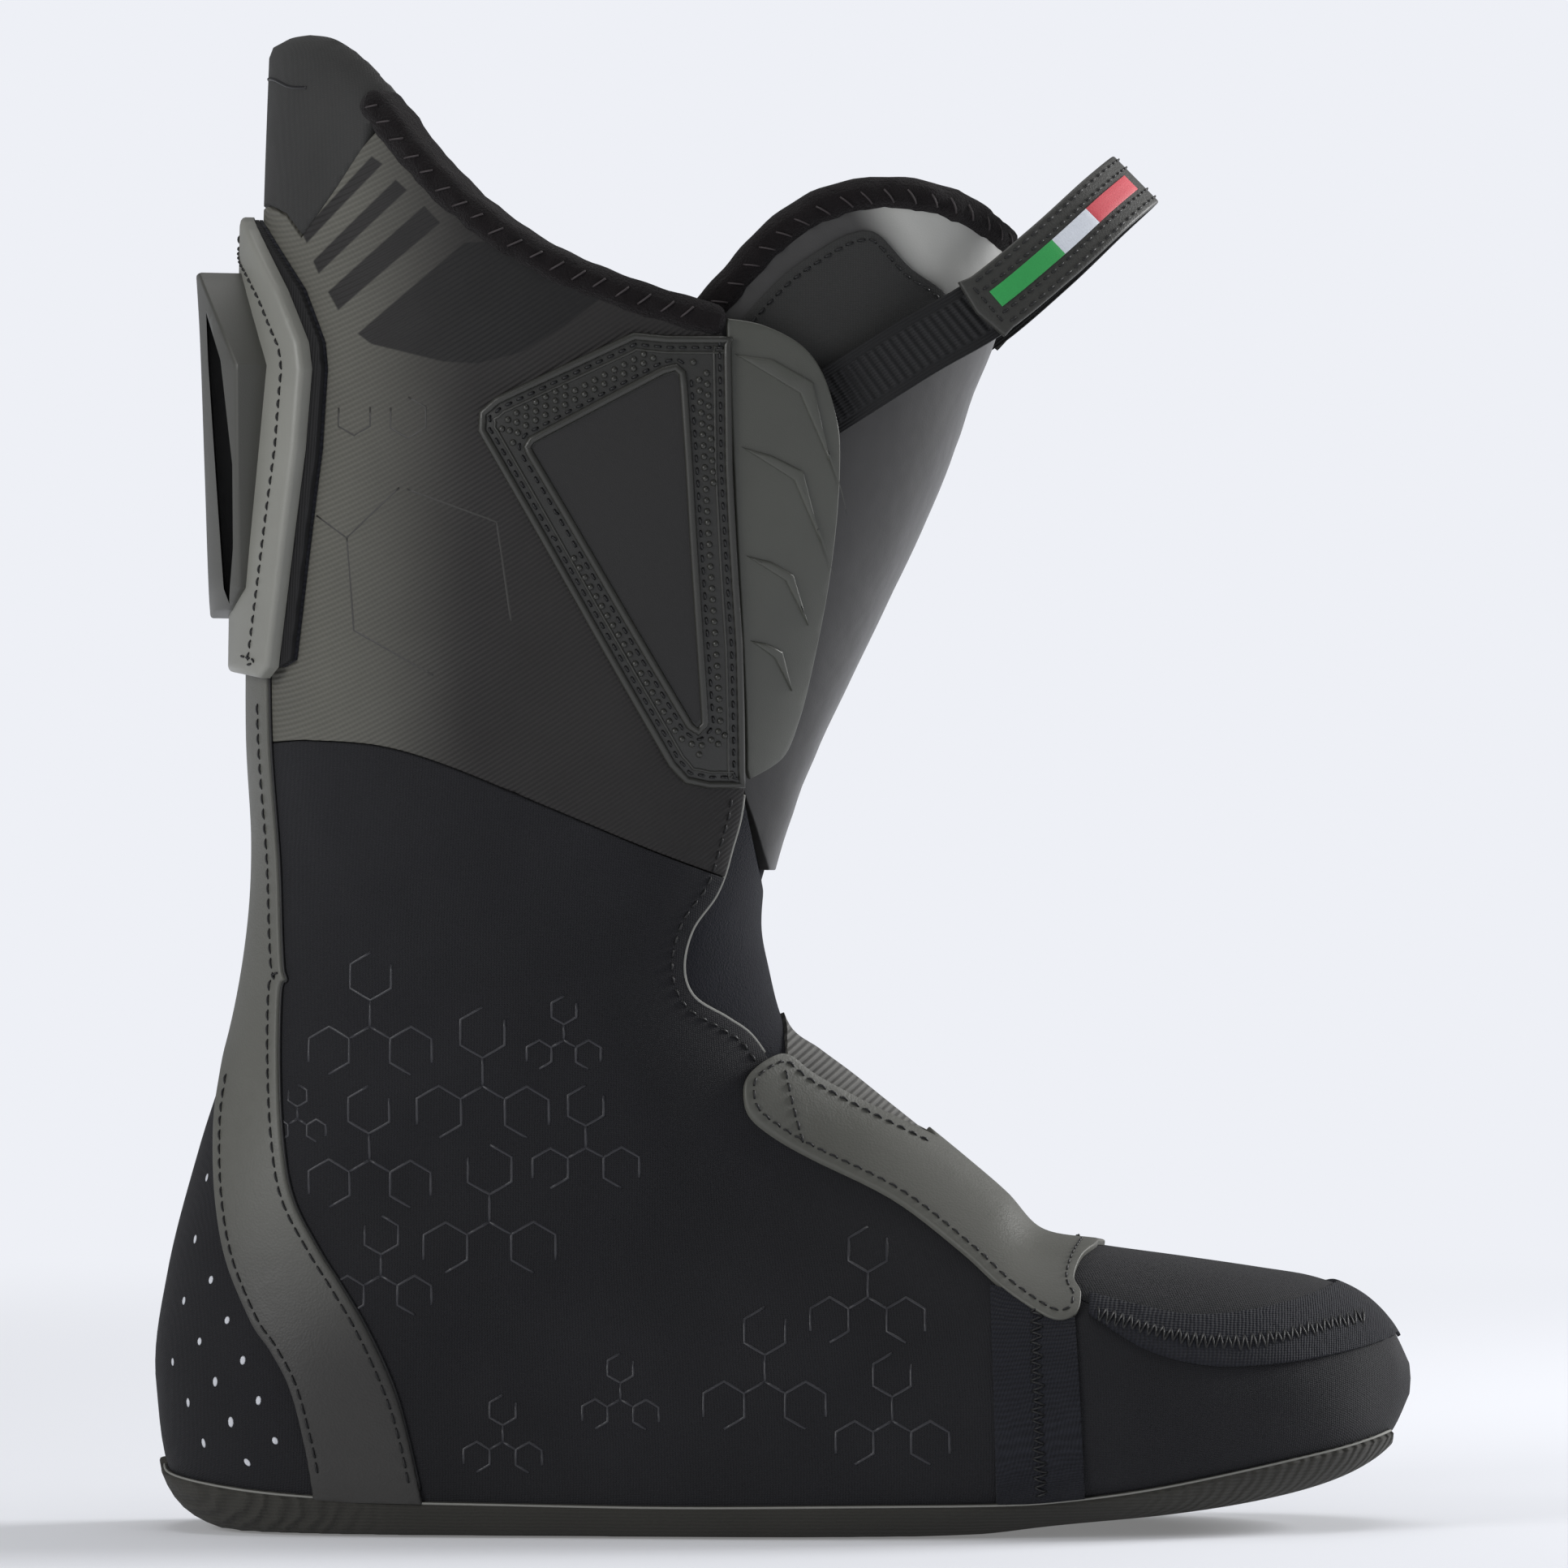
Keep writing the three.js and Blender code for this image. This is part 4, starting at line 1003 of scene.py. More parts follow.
def linings():
    edge = moved(QUARTER_EDGE, -4, 0)
    cuff = join(
        between(edge, 151, 266), pairs(-REACH, 151, -REACH, 330, -100, 330, -92, 316),
        BINDING_FOOT[BINDING_FOOT[:, 0] > -90] + (0, 3)
    )
    panel(
        "cuff_lining_sheet", on_boot(cuff, BACK), LINING_LAYER, LINING, nodes=["cuff_lining"], slot="fleece"
    )
    foot = join(
        edge[edge[:, 1] < 150.5],
        pairs(
            4, 116, 60, 110, 150, 80, 150, 34, 142, 20, 100, 12, -60, 10, -100, 10, -128, 18, -REACH, 60,
            -REACH, 150
        )
    )
    for side, sign in SIDES.items():
        panel(
            f"foot_lining_{side}", on_boot(foot), LINING_LAYER, LINING, side=sign, slot="fleece",
            nodes=["foot_lining"] if sign > 0 else []
        )


def collar():
    foot = pairs(-94.4, 311.9, -100.4, 303.2, -108.6, 292.6, -112.3, 297.6, -117, 300.3, -150, 300.2)
    top = join(pairs(-150, 338.3), COLLAR_TOP[:BINDING_FROM + 2])
    outline = on_boot(join(foot, top), BACK)
    shape = slab([outline], 0.0, -8.4, 0, 1.6)
    crest = chart_boot(filled_in(top, 1.0))
    crest = crest[crest[:, 1] > 0.4]
    crest = join(crest[::-1], crest * (1, -1))
    crown(shape, crest, 0.0, 4.2, bend_boot)
    crown(shape, crest, -8.4, 4.0, bend_boot, way=1)
    neck = piece(
        "rear_collar_pad", bend(shape, bend_boot), COLLAR_KNIT, nodes=["rear_collar"], slot="black_knit"
    )
    for side, sign in SIDES.items():
        plush_roll(
            f"collar_roll_{side}", chart_boot(shifted(BINDING_TOP, 3.9)) * (1, sign), bend_boot, "boot",
            f"collar_binding_{side}"
        )
        seam = chart_boot(smooth(pairs(-119, 329.4, -116, 328.6, -111.6, 326.2, -107.6, 325.7), 20))
        tubes(f"collar_seam_{side}", [lift(seam, -0.15, bend_boot, sign)], 0.45, THREAD, slot="webbing")


def plush_roll(name, line, how, body, node):
    """The plush edging: a soft roll along an opening, tacked with short slanting stitches."""
    along, length = ribbon(line, how)
    shape = bar(length, 7.8, -9.2, 1.5, 3.3)
    for vert in shape.verts:
        u, v, h = vert.co
        lumps = math.sin(u * 0.83) + math.sin(u * 0.37 + v) + math.sin(u * 1.9 + h * 0.8)
        vert.co.z += 0.16 * lumps * (1 if h > -4 else -1)
        vert.co.y += 0.12 * math.sin(u * 0.61 + 2) * (1 if v > 0 else -1)
    roll = piece(name, bend(shape, along), PLUSH, body=body, nodes=[node], slot="plush")
    tacks = []
    for k in range(int(length / 5.2) - 1):
        u = 4 + 5.2 * k + random.uniform(-0.4, 0.4)
        way = 1 if how is bend_boot else -1
        spots = np.array([[u + way * 1.1 * t, 0.6 + 1.5 * t] for t in (-1, -0.5, 0, 0.5, 1)])
        tacks.append(lift(spots, 1.55 + 0.22 * np.array([-1, 0.6, 1, 0.6, -1]), along))
    tubes(name + "_tacks", tacks, 0.24, PLUSH_THREAD, facets=1, body=body, slot="webbing")


def sole():
    """The textile cup that turns up round the foot, flat where it stands."""

    def flat(points):
        bent = bend_boot(points)
        bent[:, 2] = np.maximum(bent[:, 2], 0.25 * (1.8 - np.clip(points[:, 2], 0, 1.8)) / 1.8)
        return bent
    edge = chart_boot(
        join(RAND_TOP[(RAND_TOP[:, 0] > -143) & (RAND_TOP[:, 0] < 141)], pairs(142.4, 23, 146, 24))
    )
    edge = edge[edge[:, 1] > 1]
    right = join(np.array([[edge[0][0] - 1.5, 0.0]]), edge, np.array([[edge[-1][0], 0.0]]))
    panel(
        "sole_cup", wrap(tidy(right), BACK), (1.8, 0.1), FELT, how=flat, rim=0.6, step=2.6,
        nodes=["sole_rand", "outsole"], slot="felt"
    )
    restyle("lasting_board", FOAM)
    restyle("footbed", LINING)


def restyle(node, finish):
    """Gives a carried-over part a finish of its own."""
    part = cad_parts[node]
    part.data.materials.clear()
    part.data.materials.append(finish)


def straps():
    strap = join(
        between(STRAP_FRONT, 6.5, 197), between(STRAP_REAR, 6.5, 200)[::-1], pairs(-150, 118, -150, 197)
    )
    panel(
        "heel_strap", on_boot(strap, BACK), LEATHER_LAYER, STRAP_LEATHER_PAINTED_SHADE, rim=0.5,
        nodes=["heel_strap_left", "heel_strap_right", "back_strip"], slot="grey_leather"
    )
    vamp = join(VAMP_EDGE, pairs(80, 72, 80, 80, 34, 110))
    panel(
        "vamp_cover", on_boot(vamp, FRONT), LEATHER_LAYER, LEATHER, rim=0.5, nodes=["vamp_overlay"],
        slot="grey_leather"
    )
    toe = join(
        TOE_TAPE_TOP[TOE_TAPE_TOP[:, 0] > 68], pairs(160, 63), TOE_TAPE_FOOT[TOE_TAPE_FOOT[:, 0] > 68][::-1]
    )
    panel("toe_tape", on_boot(toe, FRONT), (0.95, 0.1), TAPE, rim=0.3, nodes=["toe_seam_tape"], slot="tape")
    threads, pale = [], []
    tape = pairs(46.2, 56, 47.5, 8, 67.4, 8, 65, 50.6, 61.9, 52)
    for side, sign in SIDES.items():
        panel(
            f"forefoot_tape_{side}", on_boot(tape), (0.85, 0.1), CROSS_TAPE, rim=0.25, side=sign,
            nodes=[f"vamp_tape_{side}"], slot="tape"
        )
        front = chart_boot(shifted(between(STRAP_FRONT, 11.5, 190), 1.9))
        rear = chart_boot(shifted(between(STRAP_REAR, 11.5, 104), -1.9))
        threads += stitches(front, LEATHER_SEAM, side=sign) + stitches(rear, LEATHER_SEAM, side=sign)
        seam = chart_boot(shifted(VAMP_EDGE, -1.9))
        threads += stitches(seam[seam[:, 1] < FRONT - 3], LEATHER_SEAM, side=sign, long=1.9)
        threads += stitches(
            chart_boot(smooth(pairs(-0.6, 103.8, 1.4, 95, 3.8, 86.6), 12)), LEATHER_SEAM, side=sign,
            long=1.9
        )
        groove = chart_boot(between(STRAP_FRONT, 9, 197))
        pale.append(lift(groove, 0.25, bend_boot, sign))
        threads += zigzag(pairs(56.2, 53, 56.6, 30, 57.4, 9), 1.5, 2.1, sign)
        threads += zigzag(
            smooth(pairs(70, 49.6, 80.4, 46.6, 93.3, 43.6, 106.3, 43.2, 121.1, 45.6, 132, 47.8), 30), 1.7,
            1.9, sign
        )
        pale.append(
            lift(
                chart_boot(RAND_TOP[(RAND_TOP[:, 0] > -141) & (RAND_TOP[:, 0] < 140)]), 0.75, bend_boot,
                sign
            )
        )
    tubes("rand_top_line", pale[1::2], 0.3, RAW_EDGE, slot="elastic")
    pale = pale[::2]
    tubes("strap_stitches", threads, 0.26, THREAD, facets=1, slot="webbing")
    tubes("strap_edge_cord", pale, 0.42, THREAD, slot="webbing")


def reinforcement():
    rows = []
    outer, inner = join(dense(FRAME_EDGE, 2), FRAME_EDGE[:1]), join(dense(WINDOW_EDGE, 2), WINDOW_EDGE[:1])
    for side, sign in SIDES.items():
        panel(
            f"triangle_plate_{side}", on_boot(FRAME_EDGE), (0.85, 0.05), FRAME_RUBBER, rim=0.3, side=sign,
            nodes=[f"triangle_frame_{side}"], slot="moulded_grey"
        )
        insert = WINDOW_EDGE.mean(axis=0) + (WINDOW_EDGE - WINDOW_EDGE.mean(axis=0)) * 0.97
        panel(
            f"triangle_inset_{side}", on_boot(insert), (0.95, 0.3), INSERT_AND_RECESS_SHADE, side=sign,
            nodes=[f"triangle_insert_{side}"], slot="insert"
        )
        lips = [lift(chart_boot(edge), height, bend_boot, sign) for edge, height in (
            (shifted(outer, -0.6)[:-1], 0.7), (shifted(inner, 0.5)[:-1], 0.85), (
                shifted(outer, -3.5)[:-1], 0.78
            ))]
        # The lips and studs take the paler rubber, a painted highlight.
        tubes(f"triangle_lips_{side}", lips[:2], 0.95, STUD_RUBBER_PAINTED_HIGHLIGHT, closed=True, slot="moulded_grey")
        tubes(f"triangle_fine_lip_{side}", lips[2:], 0.36, STUD_RUBBER_PAINTED_HIGHLIGHT, closed=True, slot="moulded_grey")
        for seam in (shifted(outer, -2.35), shifted(inner, 2.2)):
            rows += stitches(chart_boot(seam), 0.98, side=sign, long=1.3, gap=1.5)
    tubes("triangle_stitches", rows, 0.3, THREAD, facets=1, slot="webbing")
    spots = chart_boot(np.array(frame_spots()))
    for side, sign in SIDES.items():
        studs = bmesh.new()
        for place in lift(spots, 0.82, bend_boot, sign):
            bmesh.ops.create_uvsphere(
                studs, u_segments=8, v_segments=5, radius=0.78 * MM, matrix=Matrix.Translation(place)
            )
        piece(f"triangle_studs_{side}", studs, STUD_RUBBER_PAINTED_HIGHLIGHT, slot="moulded_grey")


def zigzag(line, reach, pitch, side):
    """Slanting threads that cross and recross a side-view line."""
    at = through(line, np.linspace(0, len(line) - 1, 400))
    run = run_along(at)
    steps = np.arange(0, run[-1], pitch / 2)
    spots = at_run(at, run, steps)
    swing = np.where(np.arange(len(spots)) % 2, reach, -reach)
    turned = sideways(
        spots[[max(i - 1, 0) for i in range(len(spots))]],
        spots[[min(i + 1, len(spots) - 1) for i in range(len(spots))]]
    )
    corners = spots + turned * swing[:, None] * (
        0.8 + 0.4 * np.array([random.random() for _ in spots])
    )[:, None]
    threads = []
    for a, b in zip(corners, corners[1:]):
        fine = a + (b - a) * np.linspace(0.06, 0.94, 4)[:, None]
        threads.append(lift(chart_boot(fine), 0.95 + 0.2 * np.array([-1, 0.7, 0.7, -1]), bend_boot, side))
    return threads


def inside(outline, point):
    """Whether a side-view point lies inside an outline."""
    x, z = point
    hit = False
    for (ax, az), (bx, bz) in zip(outline, np.roll(outline, -1, axis=0)):
        if (az > z) != (bz > z) and x < (bx - ax) * (z - az) / (bz - az) + ax:
            hit = not hit
    return hit


def gap_to(outline, point):
    """Distance from a side-view point to an outline."""
    best = 1e9
    for a, b in zip(outline, np.roll(outline, -1, axis=0)):
        t = np.clip(np.dot(point - a, b - a) / max(np.dot(b - a, b - a), 1e-9), 0, 1)
        best = min(best, float(np.linalg.norm(point - a - (b - a) * t)))
    return best


def frame_spots():
    """Where the small studs sit, in staggered rows that follow the window."""
    spots = []
    window = join(dense(WINDOW_EDGE, 0.5), WINDOW_EDGE[:1])
    for row in range(7):
        reach = 3.9 + 1.75 * row
        line = filled_in(shifted(window, reach), 0.2)
        run = run_along(line)
        for at in np.arange(1.2 * (row % 2), run[-1], 2.45):
            spot = np.array([np.interp(at, run, line[:, k]) for k in range(2)])
            clear = all(np.linalg.norm(spot - other) > 1.7 for other in spots)
            if clear and inside(FRAME_EDGE, spot) and gap_to(FRAME_EDGE, spot) > 4.2 and abs(
                gap_to(WINDOW_EDGE, spot) - reach
            ) < 0.5:
                spots.append(spot)
    return spots


def flaps():
    flap = join(FLAP_FRONT, shifted(between(QUARTER_EDGE, 171, 272), -0.5)[::-1])
    blades = [
        pairs(-10.9, 264.6, -2.7, 263.6, 6.3, 258.6, 10.2, 240.9, 3.5, 256),
        pairs(-9.4, 243.9, -2.6, 242, 4.3, 238.6, 8.3, 222.7, 2.3, 236.6),
        pairs(-8.3, 219.6, -3, 218.4, 2, 215.6, 5.3, 204.2, 0.3, 214.2),
        pairs(-7.5, 200.8, -4, 200.2, -0.6, 198.5, 1.6, 189.6, -2.3, 197),
    ]
    for side, sign in SIDES.items():
        body = f"flap_{side}"
        panel(
            f"shin_flap_{side}", on_boot(flap), (-0.1, -1.3), MOULDED, rim=0.35, step=2.4, side=sign,
            body=body, nodes=[f"front_flap_{side}"], slot="moulded_grey"
        )
        raised = [on_boot(blade) for blade in blades]
        panel(
            f"flap_blades_{side}", raised, (0.6, -0.6), MOULDED, rim=0.4, step=2.4, side=sign, body=body,
            slot="moulded_grey"
        )


def tongue():
    rim = moved(TONGUE_TOP, 0, -6)
    keep = rim[(rim[:, 0] > -26) & (rim[:, 0] < 56)]
    shell = join(between(SHELL_REAR, 148, 268), pairs(70, 146), pairs(70, 290), keep[::-1])
    panel(
        "tongue_front", on_tongue(shell, 0.0), (0, -2.2), TONGUE_PLASTIC, how=bend_tongue, rim=0.3,
        body="tongue", nodes=["tongue_shell"], slot="tongue_plastic"
    )
    keep = rim[(rim[:, 0] > -34) & (rim[:, 0] < 56)]
    pad = join(between(TONGUE_REAR, 118, 262), pairs(70, 118), pairs(70, 290), keep[::-1])
    soft = panel(
        "tongue_cushion", on_tongue(pad, 0.0), (-2.5, -8.2), FLEECE, how=bend_tongue, rim=1.2,
        body="tongue", nodes=["tongue_pad"], slot="fleece"
    )
    panel(
        "tongue_lining_sheet", on_tongue(pad, 0.0), (-8.4, -9.3), LINING, how=bend_tongue, body="tongue",
        nodes=["tongue_lining"], slot="fleece"
    )
    top = chart_tongue(moved(TONGUE_TOP[TONGUE_TOP[:, 0] > -30], 0, -3.9))
    top = top[top[:, 1] > 0.6]
    plush_roll("tongue_roll", join(top * (1, -1), top[::-1]), bend_tongue, "tongue", "tongue_binding")
    threads = []
    for side, sign in SIDES.items():
        panel(
            f"tongue_wing_{side}", on_tongue(TONGUE_PANEL), (1.2, 0.1), COLLAR_KNIT, how=bend_tongue,
            rim=0.4, side=sign, body="tongue", nodes=[f"tongue_panel_{side}"], slot="black_knit"
        )
        edge = shifted(TONGUE_PANEL[:44], 2.0)
        threads += stitches(chart_tongue(edge), 1.25, bend_tongue, sign, long=1.7)
    tubes("tongue_stitches", threads, 0.24, THREAD, facets=1, body="tongue", slot="webbing")
    restyle("tongue_root", FLEECE)
    edge = moved(QUARTER_EDGE, 0.2, 0)
    gusset = join(
        edge[(edge[:, 1] < 166) & (edge[:, 1] > 106)],
        pairs(0.6, 108, 20, 112, 20, 140, -3.6, 143, -7.6, 162)
    )
    stretch = panel(
        "throat_stretch", on_boot(gusset, FRONT), (-0.9, -2.6), FLEECE, body=None, nodes=["throat_gusset"],
        slot="fleece"
    )
    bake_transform(stretch)


# ---------- pull loop ----------
LOOP = np.array([
    [6, -40.8, 251.6],
    [16, -40.8, 258],
    [30, -40.2, 266.8],
    [45, -37, 275.6],
    [60, -28.5, 288],
    [72, -16, 299.2],
    [78.6, 0, 305],
])


def loop_line():
    whole = join(LOOP, LOOP[-2::-1] * (1, -1, 1))
    fine = through(whole, np.linspace(0, len(whole) - 1, 400))
    run = run_along(fine)
    return fine, run


LOOP_LINE, LOOP_RUN = loop_line()


def bend_loop(points):
    """Chart points (along the webbing, across it, height) bent round the loop."""
    at = points[:, 0]

    def place(run):
        return at_run(LOOP_LINE, LOOP_RUN, run)
    middle = place(at)
    tangent = place(at + 1.5) - place(at - 1.5)
    tangent /= np.linalg.norm(tangent, axis=1, keepdims=True)
    slope = 0.58 + 0.2 * np.clip((middle[:, 0] - 6) / 60, None, 1)
    across = np.column_stack([np.sin(slope), 0 * slope, -np.cos(slope)])
    outward = np.cross(across, tangent)
    outward /= np.linalg.norm(outward, axis=1, keepdims=True)
    return middle + across * points[:, 1:2] + outward * points[:, 2:3]


def pull_loop():
    end = LOOP_RUN[-1]

    def band(start, stop, half):
        return dense(np.array([[start, -half], [stop, -half], [stop, half], [start, half]]), 2)
    panel(
        "loop_strap", band(0, end, 7.2), (0.7, -0.7), WEBBING, how=bend_loop, rim=0.3, step=2.0,
        body="pull_loop", nodes=["loop_webbing"], slot="webbing"
    )
    low, high = end * 0.21, end * 0.79
    tab = np.array(
        [
            [low, -8], [low + 3, -7.4], [high - 3, -7.4], [high, -8], [high + 1.4, 0], [high, 8],
            [high - 3, 7.4], [low + 3, 7.4], [low, 8], [low - 1.4, 0]
        ]
    )
    panel(
        "loop_grip", dense(tab, 2), (2.4, 1.0), DARK_LEATHER, how=bend_loop, rim=0.5, step=2.0,
        body="pull_loop", nodes=["loop_tab"], slot="grey_leather"
    )
    for name, start, stop, finish in (
        ("green", 0.228, 0.322, GREEN), ("white", 0.322, 0.382, WHITE), ("red", 0.382, 0.468, RED)
    ):
        panel(
            f"stripe_{name}", band(end * start, end * stop, 2.2), (2.72, 2.3), finish, how=bend_loop,
            rim=0.1, step=2.0, body="pull_loop", nodes=[f"tab_stripe_{name}"], slot=f"stripe_{name}"
        )
    threads = []
    for across in (-5.9, 5.9, -3.4, 3.4):
        line = np.column_stack([np.linspace(low + 2, high - 2, 60), np.full(60, across)])
        threads += stitches(line, 2.42, bend_loop, long=1.9 if abs(across) > 5 else 1.5)
    for at in (low + 1.6, high - 1.6):
        threads += stitches(
            np.column_stack([np.full(12, at), np.linspace(-6, 6, 12)]), 2.42, bend_loop, long=1.6
        )
    tubes("loop_stitches", threads, 0.24, THREAD, facets=1, body="pull_loop", slot="webbing")


# ---------- rear spoiler ----------
def over_boot(side_view, height):
    """Chart points of the places seen here in the side view, this far above the surface."""
    aim = side_view.copy()
    for _ in range(8):
        seen = bend_boot(np.column_stack([chart_boot(aim), np.full(len(aim), height)]))
        aim = aim + side_view - seen[:, ::2]
    return chart_boot(aim)


def spoiler():
    panel(
        "spoiler_catch_soft", on_boot(PAD_EDGE, BACK), (0.9, 0.1), TAPE, nodes=["spoiler_loop_pad"],
        slot="tape"
    )
    panel(
        "spoiler_catch_hook", on_boot(PAD_EDGE, BACK), (2.1, 1.0), WEBBING, rim=0.3, body="spoiler",
        nodes=["spoiler_hook_pad"], slot="webbing"
    )
    panel(
        "spoiler_base", on_boot(PLATE_EDGE, BACK), (5.4, 2.2), SPOILER_RUBBER_PAINTED_HIGHLIGHT, rim=1.2, body="spoiler",
        nodes=["spoiler_plate"], slot="moulded_grey"
    )
    foot = over_boot(filled_in(BLOCK_EDGE, 2), 5.2)
    ends = [np.array([[u, 0.0]]) for u in (foot[0][0], foot[-1][0])]
    shape = slab([wrap(tidy(join(ends[0], foot, ends[1])), BACK)], 13.5, 5.0, 0.7, 1.6)
    top, bottom = foot[0][0], foot[-1][0]
    foot = foot[np.argsort(foot[:, 0])]
    for vert in shape.verts:
        if vert.co.z > 9:
            rise = (vert.co.x - bottom) / (top - bottom)
            out = min(abs(vert.co.y) / max(np.interp(vert.co.x, foot[:, 0], foot[:, 1]), 1.0), 1)
            vert.co.z += 1.6 * rise - (1 - rise) * (3.8 + 3.4 * out * out)
    shape = bend(shape, bend_boot)
    block = piece(
        "spoiler_ridge", shape, BLOCK_RUBBER, body="spoiler", nodes=["spoiler_block"], slot="moulded_grey",
        sharp=28
    )
    recess = pairs(
        -130.8, 275.5, -127.1, 264.2, -124.4, 240.7, -124.4, 222, -125.6, 209.5, -126.8, 213, -130.4, 264.8
    )
    for side, sign in SIDES.items():
        cutter_shape = bmesh.new()
        floor = cutter_shape.faces.new(
            [cutter_shape.verts.new((x * MM, -sign * 11.0 * MM, z * MM)) for x, z in recess]
        )
        wall = bmesh.ops.extrude_face_region(cutter_shape, geom=[floor], use_keep_orig=True)
        rim = [g for g in wall["geom"] if isinstance(g, bmesh.types.BMVert)]
        bmesh.ops.translate(cutter_shape, verts=rim, vec=(0, -sign * 0.03, 0))
        bmesh.ops.recalc_face_normals(cutter_shape, faces=cutter_shape.faces[:])
        cutter_mesh = bpy.data.meshes.new(f"recess_{side}")
        cutter_shape.to_mesh(cutter_mesh)
        # The recess walls and floor take the dark insert colour as painted shade.
        cutter_mesh.materials.append(INSERT_AND_RECESS_SHADE)
        cutter_shape.free()
        cutter = bpy.data.objects.new(f"recess_{side}", cutter_mesh)
        bpy.context.scene.collection.objects.link(cutter)
        cut = block.modifiers.new("recess", "BOOLEAN")
        cut.object, cut.operation, cut.solver, cut.material_mode = cutter, "DIFFERENCE", "EXACT", "TRANSFER"
        bpy.context.view_layer.update()
        carved = block.evaluated_get(bpy.context.evaluated_depsgraph_get())
        cut_mesh = bpy.data.meshes.new_from_object(carved)
        block.modifiers.clear()
        block.data = cut_mesh
        bpy.data.objects.remove(cutter)
    block.data.shade_smooth()
    block.data.set_sharp_from_angle(angle=math.radians(28))
    threads = []
    for side, sign in SIDES.items():
        edge = shifted(PLATE_EDGE[1:-1], 4.2)
        threads += stitches(chart_boot(filled_in(edge, 3)), 5.45, side=sign, long=1.8)
    tubes("spoiler_stitches", threads, 0.26, THREAD, facets=1, body="spoiler", slot="webbing")


# ---------- pressed patterns ----------
# The top ring of each pressed molecule: side-view centre, size, and 1 or -1 for the way it opens.
MOLECULES = [
    (-93, 125.6, 5.4, 1),
    (-93.2, 95.6, 5.3, 1),
    (-67.6, 113, 5.7, 1),
    (-49.4, 118, 3.2, 1),
    (-44.5, 96.8, 4.6, 1),
    (-66.1, 82.4, 5.7, -1),
    (-90.5, 67.6, 4.4, -1),
    (-109.4, 98.6, 2.5, -1),
    (-63, 28, 3.4, 1),
    (-36.6, 37.6, 3.3, 1),
    (-4.3, 46, 5.3, 1),
    (18.9, 64, 5.0, 1),
    (24.4, 36.3, 4.9, 1),
]


def ring(x, z, radius, first, last, way=1):
    """Part of a pointed-top hexagon, from one of its corners to another."""
    turns = [math.radians(60 * k) for k in range(first, last + 1)]
    return np.array([(x + way * radius * math.sin(t), z + radius * math.cos(t)) for t in turns])


def molecule(x, z, r, way):
    """Three open hexagons joined at a fork."""
    fork = (x, z - 2.1 * r)
    lines = [ring(x, z, r, 1, 6, way), np.array([(x, z - r), fork])]
    lines += [np.array([fork, (x + side * 0.87 * r, z - 2.6 * r)]) for side in (-1, 1)]
    lines += [ring(x - 1.73 * r, z - 3.1 * r, r, 4, 9), ring(x + 1.73 * r, z - 3.1 * r, r, 3, 8)]
    return lines


def molecules():
    lines = [line for row in MOLECULES for line in molecule(*row)]
    faint = [
        pairs(-105, 229, -98.1, 223.9, -86.1, 235),
        pairs(-84.3, 234.6, -64.3, 227.2, -61.1, 205),
        pairs(-98.1, 223.9, -96.7, 203.1, -78.7, 193),
        ring(-96.3, 251, 4.2, 1, 5),
        ring(-84, 250.6, 4.6, 0, 5),
    ]
    for side, sign in SIDES.items():
        for name, group, radius, height, finish, slot in (
            ("pressed_molecules", lines, 0.4, -0.22, EMBOSS_PAINTED_HIGHLIGHT, "black_knit"),
            ("pressed_cuff_lines", faint, 0.62, -0.5, FAINT, "grey_laminate"),
        ):
            runs = [lift(chart_boot(filled_in(line, 1.5)), height, bend_boot, sign) for line in group]
            tubes(f"{name}_{side}", runs, radius, finish, facets=1, slot=slot)


def filled_in(line, spacing):
    """An open line with extra points."""
    out = [line[:1]]
    for a, b in zip(line, line[1:]):
        count = max(1, int(np.linalg.norm(b - a) / spacing))
        out.append(a + (b - a) * np.arange(1, count + 1)[:, None] / count)
    return join(*out)


def heel_holes():
    """Small holes through the heel knit that show the pale foam."""
    dots = bmesh.new()
    for row in range(-7, 9):
        for column in range(-4, 6):
            x = -129.4 + 10.2 * column + 3.8 * row
            z = 56.8 - 3.9 * column - 8.9 * row
            if not 13 < z < 106:
                continue
            rear = np.interp(z, STRAP_REAR[::-1, 1], STRAP_REAR[::-1, 0])
            back = np.interp(z, SECTIONS[6:13, 1][::-1], SECTIONS[6:13, 0][::-1])
            if back + 0.8 < x < rear - 1.8:
                u, v = chart_boot(np.array([[x, z]]))[0]
                turn = Matrix.Translation((u, v, 0.02)) @ Matrix.Rotation(0.3, 4, "Z") @ Matrix.Diagonal(
                    (1.0, 0.6, 0.1, 1)
                )
                bmesh.ops.create_uvsphere(
                    dots, u_segments=10, v_segments=4, radius=0.95 + 0.2 * random.random(), matrix=turn
                )
    for side, sign in SIDES.items():
        piece(f"heel_holes_{side}", bend(dots.copy(), bend_boot, sign), FOAM_DOT, slot="foam")
    dots.free()


def edges():
    """The pale cut edge along the front of the quarter, and its seam."""
    pale, threads = [], []
    for sign in SIDES.values():
        line = chart_boot(between(QUARTER_EDGE, 108, 168))
        pale.append(lift(line, -0.35, bend_boot, sign))
        seam = chart_boot(shifted(between(QUARTER_EDGE, 107, 168), 3.0))
        threads += stitches(seam, 0.02, side=sign, long=2.0)
    tubes("throat_cut_edge", pale, 0.42, RAW_EDGE, slot="elastic")
    tubes("throat_stitches", threads, 0.24, THREAD, facets=1, slot="webbing")


# ---------- stage ----------
LENS = 251.8  # millimetres, on a 36 mm sensor
EYE = (0, -2.5, 0.1687)
BACKDROP = "eef0f6"
FLOOR = "d9dbe1"


